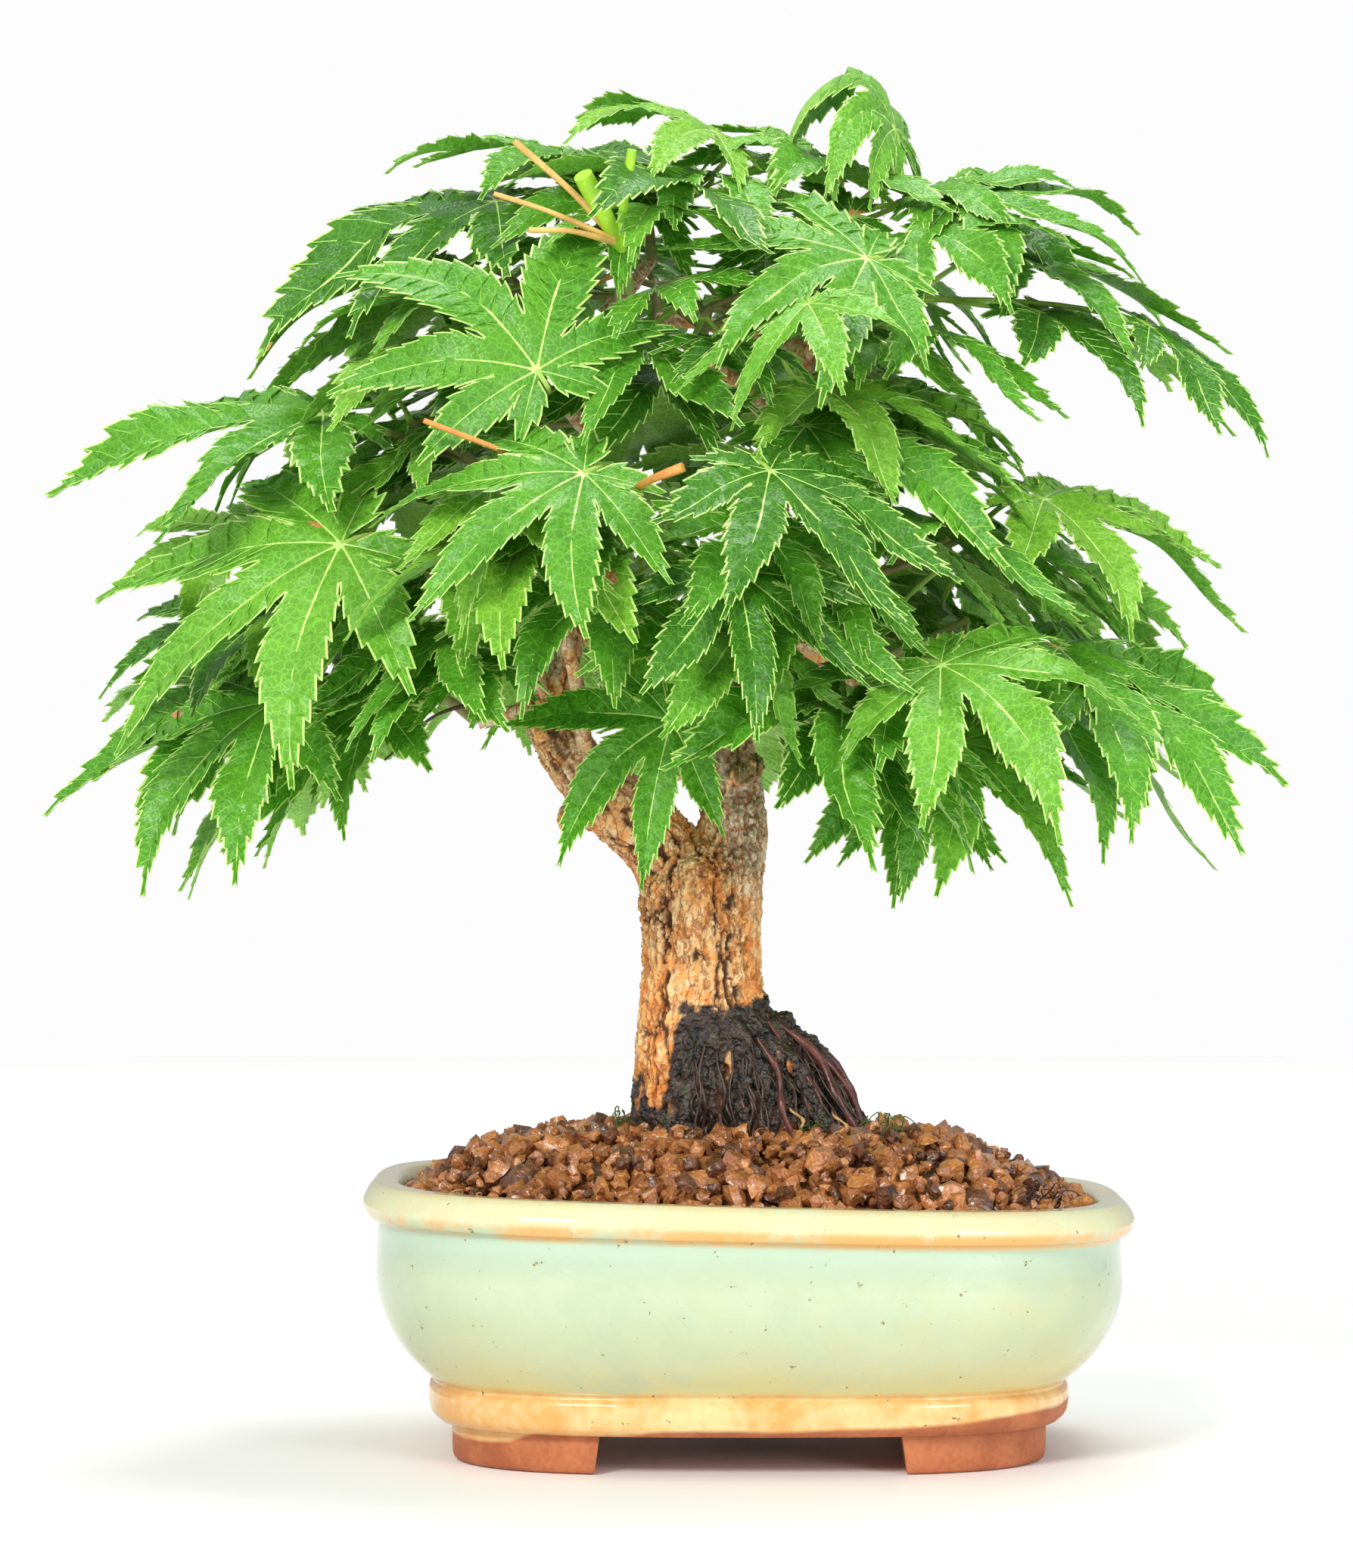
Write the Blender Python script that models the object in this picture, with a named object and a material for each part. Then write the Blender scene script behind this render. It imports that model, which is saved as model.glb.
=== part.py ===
"""A Japanese maple bonsai in its glazed pot: pot, soil, trunk, limbs and masses of leaves, each a closed solid.

Metres, +Z up. Everything is laid out round the middle of the pot, with the ground at z = 0, and then
moved as one so that the origin is the middle of the whole plant's footprint. The front of the tree is -Y.
"""

import math
import random

import bmesh
import bpy
import numpy as np
from mathutils import Matrix, Vector
from mathutils.bvhtree import BVHTree

# ---------------------------------------------------------------------------- driving dimensions

GAP = 0.0003  # between pieces that touch
MERGE = 0.00001  # points closer than this are one
RIM_HALF = (0.0750, 0.0600)  # half the pot's width and depth over the lip
FOOT_HEIGHT = 0.0074
RIM_HEIGHT = 0.0515
RIM_DIP = 0.026  # the hand-thrown rim falls this much to the right for each unit of width
PLAN_POWER = 3.2  # 2 is an ellipse, more is squarer
PLAN_SIDES = 40
WALL_FLOOR = 0.0125  # top of the pot's floor
SEAT_HEIGHT = 0.0612  # the soil under the trunk, where the trunk's foot is cut
TRUNK_X = -0.0095
CROWN_X = -0.0155  # the crown leans left of the pot's middle
CROWN_BASE = 0.140  # height at which the dome of leaf hubs is widest
CROWN_RISE = 0.118  # from there to its top
CROWN_HALF = (0.082, 0.070)  # of the dome of leaf hubs, in x and y
# no leaf tip hangs lower than this over x: the crown stays open beside the trunk
FLOOR_X = (-0.090, -0.078, -0.032, -0.027, 0.012, 0.030)
FLOOR_Z = (0.1045, 0.134, 0.134, 0.117, 0.117, 0.1045)

# ---------------------------------------------------------------------------- small tools


def clear_scene():
    for thing in list(bpy.data.objects):
        bpy.data.objects.remove(thing, do_unlink=True)


def material(name, colour, roughness):
    made = bpy.data.materials.new(name)
    made.use_nodes = True
    shader = made.node_tree.nodes["Principled BSDF"]
    shader.inputs["Base Color"].default_value = (*colour, 1.0)
    shader.inputs["Roughness"].default_value = roughness
    shader.inputs["Metallic"].default_value = 0.0
    return made


def add_mesh(name, points, faces, finish=None):
    """A named object from points and faces whose order already turns them outwards."""
    mesh = bpy.data.meshes.new(name)
    mesh.from_pydata([tuple(p) for p in points], [], [tuple(f) for f in faces])
    mesh.update()
    thing = bpy.data.objects.new(name, mesh)
    bpy.context.scene.collection.objects.link(thing)
    if finish:
        mesh.materials.append(finish)
    return thing


def loft(rings):
    """Points and faces of a closed skin through rings of equal count, each turning anticlockwise seen
    from the last ring, with both ends capped."""
    rings = np.asarray(rings, float)
    rows, around = rings.shape[:2]
    faces = []
    for row in range(rows - 1):
        for i in range(around):
            j = (i + 1) % around
            faces.append((row * around + i, row * around + j, (row + 1) * around + j, (row + 1) * around + i))
    faces.append(tuple(reversed(range(around))))
    faces.append(tuple(range((rows - 1) * around, rows * around)))
    return rings.reshape(-1, 3), faces


def combine(base, others, operation, solver="EXACT"):
    """Joins or cuts base with the other objects, applies it and removes them."""
    group = bpy.data.collections.new(base.name + "_tools")
    bpy.context.scene.collection.children.link(group)
    for other in others:
        bpy.context.scene.collection.objects.unlink(other)
        group.objects.link(other)
    change = base.modifiers.new(operation.lower(), "BOOLEAN")
    change.operation = operation
    change.operand_type = "COLLECTION"
    change.collection = group
    change.solver = solver
    bpy.context.view_layer.update()
    seen = base.evaluated_get(bpy.context.evaluated_depsgraph_get())
    result = bpy.data.meshes.new_from_object(seen)
    base.modifiers.clear()
    base.data = result
    for other in others:
        bpy.data.objects.remove(other, do_unlink=True)
    bpy.data.collections.remove(group)
    return base


def unit(vector):
    vector = np.asarray(vector, float)
    return vector / np.linalg.norm(vector, axis=-1, keepdims=True)


def curve_through(points, count):
    """count points evenly spread along a smooth Catmull-Rom curve through the given points."""
    points = np.asarray(points, float)
    ends = np.vstack([2 * points[0] - points[1], points, 2 * points[-1] - points[-2]])
    places = np.linspace(0, len(points) - 1, count)
    span = np.minimum(places.astype(int), len(points) - 2)
    t = (places - span)[:, None]
    a, b, c, d = (ends[span + k] for k in range(4))
    return 0.5 * (2 * b + (c - a) * t + (2 * a - 5 * b + 4 * c - d) * t**2 + (3 * b - a - 3 * c + d) * t**3)


def tube_rings(line, radii, sides, spin=0.0):
    """Rings of a round limb along a line, each square to it, turned as little as possible."""
    line = np.asarray(line, float)
    along = unit(np.gradient(line, axis=0))
    side = unit(np.cross(along[0], (0.31, 0.92, 0.24)))
    rings = []
    for point, radius, way in zip(line, radii, along):
        side = unit(side - way * (side @ way))
        other = np.cross(way, side)
        turn = spin + np.linspace(0, 2 * math.pi, sides, endpoint=False)
        rings.append(point + radius * (np.outer(np.cos(turn), side) + np.outer(np.sin(turn), other)))
    return np.array(rings)


# ---------------------------------------------------------------------------- pot and soil

# (height, how far the wall stands in from the lip's outer edge), from the foot of the band to the lip's top
POT_OUTSIDE = (
    (0.0074, 0.0145), (0.0092, 0.0130), (0.0132, 0.0126), (0.0146, 0.0137), (0.0160, 0.0122), (0.0205, 0.0078),
    (0.0265, 0.0042), (0.0335, 0.0024), (0.0438, 0.0026), (0.0454, 0.0008), (0.0480, 0.0000), (0.0515, 0.0026),
)
POT_INSIDE = ((0.0512, 0.0068), (0.0420, 0.0088), (0.0260, 0.0110), (0.0170, 0.0160), (0.0125, 0.0230))
FOOT_INSET = 0.0165
FOOT_THICK = 0.0120
FOOT_SPAN = (0.0290, 0.0240)  # each foot runs this far from the pot's corner, along the front and the side
DRAIN_RADIUS = 0.0055
DRAIN_APART = 0.0300


def plan_ring(height, inset, sides=PLAN_SIDES):
    """One ring of the pot: a rounded rectangle, whose upper part dips to the right with the rim."""
    turn = np.linspace(0, 2 * math.pi, sides, endpoint=False)
    half_x, half_y = RIM_HALF[0] - inset, RIM_HALF[1] - inset
    x = half_x * np.sign(np.cos(turn)) * np.abs(np.cos(turn)) ** (2 / PLAN_POWER)
    y = half_y * np.sign(np.sin(turn)) * np.abs(np.sin(turn)) ** (2 / PLAN_POWER)
    share = np.clip((height - WALL_FLOOR) / (RIM_HEIGHT - WALL_FLOOR), 0, 1)
    return np.stack([x, y, height - RIM_DIP * x * share], axis=1)


def box(low, high, top_grow=0.0):
    """A box between two corners, whose top is wider by top_grow on each side in x and y."""
    (x0, y0, z0), (x1, y1, z1) = low, high
    g = top_grow
    lower = [(x0, y0, z0), (x1, y0, z0), (x1, y1, z0), (x0, y1, z0)]
    upper = [(x0 - g, y0 - g, z1), (x1 + g, y0 - g, z1), (x1 + g, y1 + g, z1), (x0 - g, y1 + g, z1)]
    return loft([lower, upper])


def round_cutter(centre, radius, low, high, sides=16):
    turn = np.linspace(0, 2 * math.pi, sides, endpoint=False)
    ring = np.stack([centre[0] + radius * np.cos(turn), centre[1] + radius * np.sin(turn), 0 * turn], axis=1)
    return loft([ring + (0, 0, low), ring + (0, 0, high)])


def make_pot(glaze):
    """The ceramic: one wall folded over at the lip, a floor with two drain holes, and four bracket feet."""
    rings = [plan_ring(z, inset) for z, inset in POT_OUTSIDE + POT_INSIDE]
    pot = add_mesh("pot", *loft(rings), glaze)
    lap = 0.0008  # how far the feet run up into the band
    below = -0.002
    feet = add_mesh("feet", *loft([plan_ring(0.0, FOOT_INSET + 0.0006), plan_ring(0.0016, FOOT_INSET),
                                   plan_ring(FOOT_HEIGHT + lap, FOOT_INSET)]))
    inner = add_mesh("inner", *loft([plan_ring(z, FOOT_INSET + FOOT_THICK) for z in (below, 0.02)]))
    gap_x = RIM_HALF[0] - FOOT_INSET - FOOT_SPAN[0]
    gap_y = RIM_HALF[1] - FOOT_INSET - FOOT_SPAN[1]
    splay = -0.0028  # the gaps between the feet narrow upwards
    gaps = [
        add_mesh("gap_x", *box((-gap_x, -0.1, below), (gap_x, 0.1, 0.02), splay)),
        add_mesh("gap_y", *box((-0.1, -gap_y, below), (0.1, gap_y, 0.02), splay)),
    ]
    combine(feet, [inner, *gaps], "DIFFERENCE")
    combine(pot, [feet], "UNION")
    drains = [
        add_mesh("drain", *round_cutter((side * DRAIN_APART, 0), DRAIN_RADIUS, -0.01, 0.02)) for side in (-1, 1)
    ]
    return combine(pot, drains, "DIFFERENCE")


SOIL_EDGE = 0.0480  # where the grains meet the wall
SEAT_CENTRE = (-0.0030, -0.001)
SEAT_HALF = (0.0320, 0.0225)
SEAT_RIM = 0.0025  # the seat's outer ring, which is lumpy too
SOIL_STEPS = 7  # from the wall to the seat
LUMP = 0.0012  # how far the coarse grains stand above or below the even heap


def halved(ring):
    """The same outline with a point more in the middle of each of its sides."""
    return np.stack([ring, (ring + np.roll(ring, -1, axis=0)) / 2], axis=1).reshape(-1, 3)


def seat_ring(inset):
    """A ring of the flat seat under the trunk."""
    turn = np.linspace(0, 2 * math.pi, 2 * PLAN_SIDES, endpoint=False)
    return np.stack([SEAT_CENTRE[0] + (SEAT_HALF[0] - inset) * np.cos(turn),
                     SEAT_CENTRE[1] + (SEAT_HALF[1] - inset) * np.sin(turn), np.full(len(turn), SEAT_HEIGHT)], axis=1)


def make_soil(grit):
    """The soil fills the pot to just under the lip, and heaps up in coarse grains to a flat seat for the trunk."""
    rng = random.Random(5)
    wall = [(z + GAP if z == WALL_FLOOR else z, inset + GAP) for z, inset in reversed(POT_INSIDE) if z < SOIL_EDGE]
    rings = [halved(plan_ring(z, inset)) for z, inset in wall]
    edge = halved(plan_ring(SOIL_EDGE, POT_INSIDE[0][1] + 0.0022))
    seat = seat_ring(0.0)
    rings.append(edge)
    for number in range(1, SOIL_STEPS + 1):
        step = number / SOIL_STEPS
        ring = edge + (seat - edge) * step
        ring[:, 2] = edge[:, 2] + (seat[:, 2] - edge[:, 2]) * math.sin(step * math.pi / 2)
        ring[:, 2] += [rng.uniform(-LUMP, LUMP) for _ in ring]
        rings.append(ring)
    rings.append(seat_ring(SEAT_RIM))
    return add_mesh("soil", *loft(rings), grit)


# ---------------------------------------------------------------------------- trunk and limbs

# (height, radius, how far the root flare runs out to the right)
TRUNK = (
    (SEAT_HEIGHT + GAP, 0.0142, 0.0186), (0.0660, 0.0136, 0.0168), (0.0710, 0.0132, 0.0145), (0.0763, 0.0129, 0.0112),
    (0.0810, 0.0126, 0.0072), (0.0845, 0.0123, 0.0024), (0.0900, 0.0119, 0.0), (0.0990, 0.0114, 0.0),
    (0.1060, 0.0117, 0.0), (0.1110, 0.0119, 0.0), (0.1150, 0.0106, 0.0), (0.1180, 0.0078, 0.0), (0.1196, 0.0040, 0.0),
)
TRUNK_SIDES = 18
TRUNK_DEPTH = 0.88  # the trunk is a little flatter front to back
# surface roots: (way round the foot in degrees, start height, radius)
ROOTS = ((-58, 0.0800, 0.0019), (-30, 0.0835, 0.0022), (-6, 0.0850, 0.0024), (20, 0.0835, 0.0022), (48, 0.0800, 0.0019))

# name: (parent, points along the middle, radius at its start and end)
LIMBS = {
    "bough_left": ("trunk", ((-0.0125, 0.000, 0.1105), (-0.0183, -0.001, 0.1192), (-0.0277, -0.003, 0.1275),
                             (-0.0368, -0.004, 0.1385), (-0.0412, -0.004, 0.1480)), 0.0086, 0.0044),
    "bough_right": ("trunk", ((-0.0048, 0.001, 0.1080), (-0.0030, 0.002, 0.1220), (-0.0038, 0.004, 0.1400),
                              (-0.0050, 0.006, 0.1540)), 0.0080, 0.0036),
    "riser_left": ("bough_left", ((-0.0395, -0.004, 0.1440), (-0.0350, -0.003, 0.1560), (-0.0330, -0.002, 0.1760),
                                  (-0.0300, 0.001, 0.2000), (-0.0262, 0.000, 0.2250)), 0.0031, 0.0017),
    "riser_right": ("bough_right", ((-0.0048, 0.005, 0.1500), (0.0010, 0.007, 0.1640), (0.0045, 0.008, 0.1780),
                                    (0.0090, 0.007, 0.2000), (0.0150, 0.004, 0.2250)), 0.0030, 0.0016),
}
LIMB_SIDES = {"bough_left": 12, "bough_right": 12, "riser_left": 8, "riser_right": 8}
KNOB = ((-0.0345, -0.0045, 0.1232), 0.0030)  # a healed cut under the left bough


def trunk_ring(height, radius, flare, grow=0.0):
    """A ring of the trunk: nearly round, with the flare drawn out to the right in a rounded wedge."""
    turn = np.linspace(0, 2 * math.pi, TRUNK_SIDES, endpoint=False)
    reach = radius + grow + flare * np.clip(np.cos(turn), 0, 1) ** 2.2
    reach = reach * (1 + 0.035 * np.cos(3 * turn + 0.8) + 0.02 * np.cos(5 * turn + 70 * height))
    return np.stack([TRUNK_X + reach * np.cos(turn), TRUNK_DEPTH * reach * np.sin(turn), np.full(TRUNK_SIDES, height)],
                    axis=1)


def limb_line(points, start, end, count):
    """The limb's middle line and its radius at each point of it."""
    line = curve_through(points, count)
    return line, np.linspace(start, end, count)


def limb_solid(name, points, start, end, sides, count, finish=None, grow=0.0):
    line, radii = limb_line(points, start, end, count)
    return add_mesh(name, *loft(tube_rings(line, radii + grow, sides)), finish)


def root_points(way, height):
    """A surface root's line: out of the trunk's side and down to the soil, just proud of the flare."""
    turn = math.radians(way)
    line = []
    for share in (0.0, 0.35, 0.7, 1.0, 1.1):
        z = height + (TRUNK[0][0] - height) * share
        radius = np.interp(z, [t[0] for t in TRUNK], [t[1] for t in TRUNK])
        flare = np.interp(z, [t[0] for t in TRUNK], [t[2] for t in TRUNK])
        reach = radius + flare * max(math.cos(turn), 0) ** 2.2 - 0.0004
        line.append((TRUNK_X + reach * math.cos(turn), TRUNK_DEPTH * reach * math.sin(turn), z))
    return line


def make_trunk(bark):
    rings = [trunk_ring(*row) for row in TRUNK]
    trunk = add_mesh("trunk", *loft(rings), bark)
    roots = [limb_solid("root", root_points(way, height), size * 0.7, size, 5, 4) for way, height, size in ROOTS]
    combine(trunk, roots, "UNION")
    foot = TRUNK[0][0]
    under = add_mesh("under", *box((-0.08, -0.06, foot - 0.02), (0.08, 0.06, foot)))
    return combine(trunk, [under], "DIFFERENCE")


def grown_limb(name):
    """The trunk or a limb grown by the gap, to cut another limb back with."""
    if name == "trunk":
        return add_mesh("cutter", *loft([trunk_ring(*row, grow=GAP) for row in TRUNK]))
    _, points, start, end = LIMBS[name]
    return limb_solid("cutter", points, start, end, LIMB_SIDES[name], 9, grow=GAP)


def make_limbs(bark):
    """Each limb starts inside its parent, and is cut back from it and from any limb made before it there."""
    made = []
    for name, (parent, points, start, end) in LIMBS.items():
        limb = limb_solid(name, points, start, end, LIMB_SIDES[name], 9, bark)
        if name == "bough_left":
            knob = add_mesh("knob", *ball(*KNOB))
            combine(limb, [knob], "UNION")
        beside = [other.name for other in made if LIMBS[other.name][0] == parent]
        made.append(combine(limb, [grown_limb(other) for other in (parent, *beside)], "DIFFERENCE"))
    return made


def ball(centre, radius, rows=5, sides=8):
    """A rough ball: rings between two small end caps."""
    rings = []
    for slope in np.linspace(-0.42, 0.42, rows) * math.pi:
        turn = np.linspace(0, 2 * math.pi, sides, endpoint=False)
        flat = radius * math.cos(slope)
        rings.append(np.stack([centre[0] + flat * np.cos(turn), centre[1] + flat * np.sin(turn),
                               np.full(sides, centre[2] + radius * math.sin(slope))], axis=1))
    return loft(rings)


# ---------------------------------------------------------------------------- one leaf

# each lobe: (way from the middle lobe in degrees, length against the middle lobe)
LOBES = ((-132, 0.32), (-86, 0.66), (-43, 0.92), (0, 1.0), (43, 0.92), (86, 0.66), (132, 0.32))
LOBE_WIDE = 0.145  # half a lobe's width at its widest, against the leaf's length
WIDEST_AT = 0.56
SINUS = 0.35  # how far out the lobes part
BASE_REACH = 0.05  # where the stalk meets the blade, behind the hub
FOLD = 0.30  # each lobe's halves rise from its rib by this slope
LEAF_THICK = 0.016  # at the rib, against the leaf's length
STALK_RADIUS = 0.00062
SAG = 0.75  # how far a leaf's rays turn towards the ground on the way to their tips


def blade_frame(heading, pitch, roll):
    """Rows: the way of the middle lobe, the way across, and the blade's upper face."""
    h, p, r = (math.radians(a) for a in (heading, pitch, roll))
    along = np.array([math.cos(p) * math.cos(h), math.cos(p) * math.sin(h), math.sin(p)])
    across = np.array([-math.sin(h), math.cos(h), 0.0])
    upper = np.cross(along, across)
    turned = across * math.cos(r) + upper * math.sin(r)
    return np.array([along, turned, np.cross(along, turned)])


def bend(leaf, reach, turn, lift):
    """Where points of the flat leaf go. A point lies at a reach and turn from the hub; its ray leaves in the
    blade's plane and turns towards the ground as it goes, and lift raises it square to that ray."""
    hub, heading, pitch, roll, size, sag = leaf
    frame = blade_frame(heading, pitch, roll)
    way = np.outer(np.cos(turn), frame[0]) + np.outer(np.sin(turn), frame[1])
    down = np.array([0.0, 0.0, -sag / size])
    steps = 5
    place = sum(unit(way + np.outer(reach * (k + 0.5) / steps, down)) for k in range(steps))
    last = unit(way + np.outer(reach, down))
    normal = unit(frame[2] - last * (last @ frame[2])[:, None])
    return np.asarray(hub) + place * (reach / steps)[:, None] + normal * lift[:, None]


def leaf_layout():
    """The flat leaf, shared by all: (reach, turn, rise) of the outline's points and of the ribs' against the
    leaf's length, and the faces of its upper side. The hub is the last point."""
    outline, ribs, top = [], [], []
    for k, (way, length) in enumerate(LOBES):
        turn = math.radians(way)
        if length > 0.5:
            along, out = WIDEST_AT * length, LOBE_WIDE * (0.35 + 0.65 * length)
            swing, far = math.atan2(out, along), math.hypot(along, out)
            ribs.append((len(outline), (0.5 * length, turn, 0.0) if length > 0.8 else None))
            outline += [(far, turn - swing, out), (length, turn, 0.0), (far, turn + swing, out)]
        else:
            ribs.append((len(outline), None))
            outline.append((length, turn, 0.0))
        if k < len(LOBES) - 1:
            after, near = LOBES[k + 1]
            deep = SINUS * min(length, near)
            middle = math.radians((way + after) / 2)
            outline.append((deep, middle, deep * math.sin(math.radians(after - way) / 2)))
    outline += [(BASE_REACH, math.radians(way), 0.0) for way in (167, 193)]
    middles = [rib for _, rib in ribs if rib]
    count, seen = len(outline), 0
    hub = count + len(middles)
    for (first, rib), (_, length) in zip(ribs, LOBES):
        before, right, tip, left = (first - 1) % count, first, first + 1, first + 2
        if rib:
            mid, seen = count + seen, seen + 1
            top += [(hub, before, right), (hub, right, mid), (right, tip, mid), (mid, tip, left), (hub, mid, left),
                    (hub, left, first + 3)]
        elif length > 0.5:
            top += [(hub, before, right), (hub, right, tip), (hub, tip, left), (hub, left, first + 3)]
        else:
            top += [(hub, before, first), (hub, first, first + 1)]
    top.append((hub, count - 2, count - 1))
    return outline, middles, top


OUTLINE, MIDDLES, LEAF_TOP = leaf_layout()
FLAT_LEAF = np.array(OUTLINE + MIDDLES + [(0.0, 0.0, 0.0)])


def leaf_solid(leaf, thick=1.0):
    """One leaf's points, upper and lower, and the faces between them. The lower side also goes under the three
    points where the stalk comes in, which is left open."""
    size = leaf[4]
    reach, turn, rise = FLAT_LEAF[:, 0] * size, FLAT_LEAF[:, 1], FLAT_LEAF[:, 2] * size * FOLD
    half = 0.5 * LEAF_THICK * size * thick
    edge, total = len(OUTLINE), len(FLAT_LEAF)
    inner = np.arange(total) >= edge
    upper = bend(leaf, reach, turn, rise + half * inner)
    lower = bend(leaf, reach[edge:], turn[edge:], rise[edge:] - half)
    left, right, under = edge - 2, edge - 1, total + total - edge
    keel = (upper[left] + upper[right]) / 2 - blade_frame(*leaf[1:4])[2] * STALK_RADIUS * 1.6
    shift = total - edge
    bottom = [tuple(i + shift if i >= edge else i for i in reversed(face)) for face in LEAF_TOP[:-1]]
    hub = total - 1 + shift
    bottom += [(hub, under, left), (hub, right, under)]
    return np.vstack([upper, lower, keel]), LEAF_TOP + bottom, (left, right, under)


def stalk_line(start, leaf, count=3):
    """A leaf stalk's middle line: from its twig, bowing under, and into the blade along its middle lobe."""
    frame = blade_frame(*leaf[1:4])
    end = np.array(leaf[0]) - frame[0] * BASE_REACH * leaf[4]
    reach = np.linalg.norm(end - start)
    bow = end - frame[0] * reach * 0.36 - frame[2] * reach * 0.06
    t = np.linspace(0, 1, count)[:, None]
    return (1 - t) ** 2 * start + 2 * t * (1 - t) * bow + t**2 * end


def stalk_rings(mouth, line):
    """Three-sided rings along a stalk, from the blade's mouth back to the twig, each turned square to it."""
    middle = mouth.mean(0)
    path = np.vstack([middle, line[-2::-1]])
    runs = unit(np.vstack([path[1] - path[0], path[2:] - path[:-2], path[-1] - path[-2]]))
    spokes = [Vector(spoke) for spoke in unit(mouth - middle) * STALK_RADIUS]
    rings = []
    for k in range(1, len(path)):
        turn = Vector(runs[k - 1]).rotation_difference(Vector(runs[k]))
        spokes = [turn @ spoke for spoke in spokes]
        rings.append([path[k] + spoke for spoke in spokes])
    return rings


def leaf_with_stalk(start, leaf, joint=None):
    """The blade and its stalk as one closed skin: the stalk's rings carry on from the blade's opening, back
    to its start and, if a joint is given, on down the twig to that."""
    points, faces, opening = leaf_solid(leaf)
    line = stalk_line(start, leaf)
    if joint is not None:
        line = np.vstack([joint, line])
    rings = stalk_rings(points[list(opening)], line)
    count = len(points)
    ids = [list(opening)] + [[count + 3 * k + i for i in range(3)] for k in range(len(rings))]
    for near, far in zip(ids, ids[1:]):
        faces = faces + [(near[(i + 1) % 3], near[i], far[i], far[(i + 1) % 3]) for i in range(3)]
    faces = faces + [tuple(reversed(ids[-1]))]
    return np.vstack([points, *rings]), faces


def leaf_tips(leaf):
    """The ends of the lobes, in place."""
    lobes = np.array(LOBES)
    return bend(leaf, lobes[:, 1] * leaf[4], np.radians(lobes[:, 0]), np.zeros(len(lobes)))


def leaf_to(hub, tip, roll, sag=SAG):
    """The leaf whose hub and whose middle lobe's tip are given: its heading, pitch and length follow."""
    hub, tip = np.array(hub), np.array(tip)
    size, aim = np.linalg.norm(tip - hub) * 1.03, tip + (0, 0, 0.5 * sag * np.linalg.norm(tip - hub))
    for _ in range(6):
        run = aim - hub
        heading = math.degrees(math.atan2(run[1], run[0]))
        pitch = math.degrees(math.asin(run[2] / np.linalg.norm(run)))
        leaf = (tuple(hub), heading, pitch, roll, size, sag)
        end = bend(leaf, np.array([size]), np.array([0.0]), np.array([0.0]))[0]
        size *= np.linalg.norm(tip - hub) / np.linalg.norm(end - hub)
        aim = aim + (tip - end)
    return leaf


# ---------------------------------------------------------------------------- masses of leaves

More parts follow.
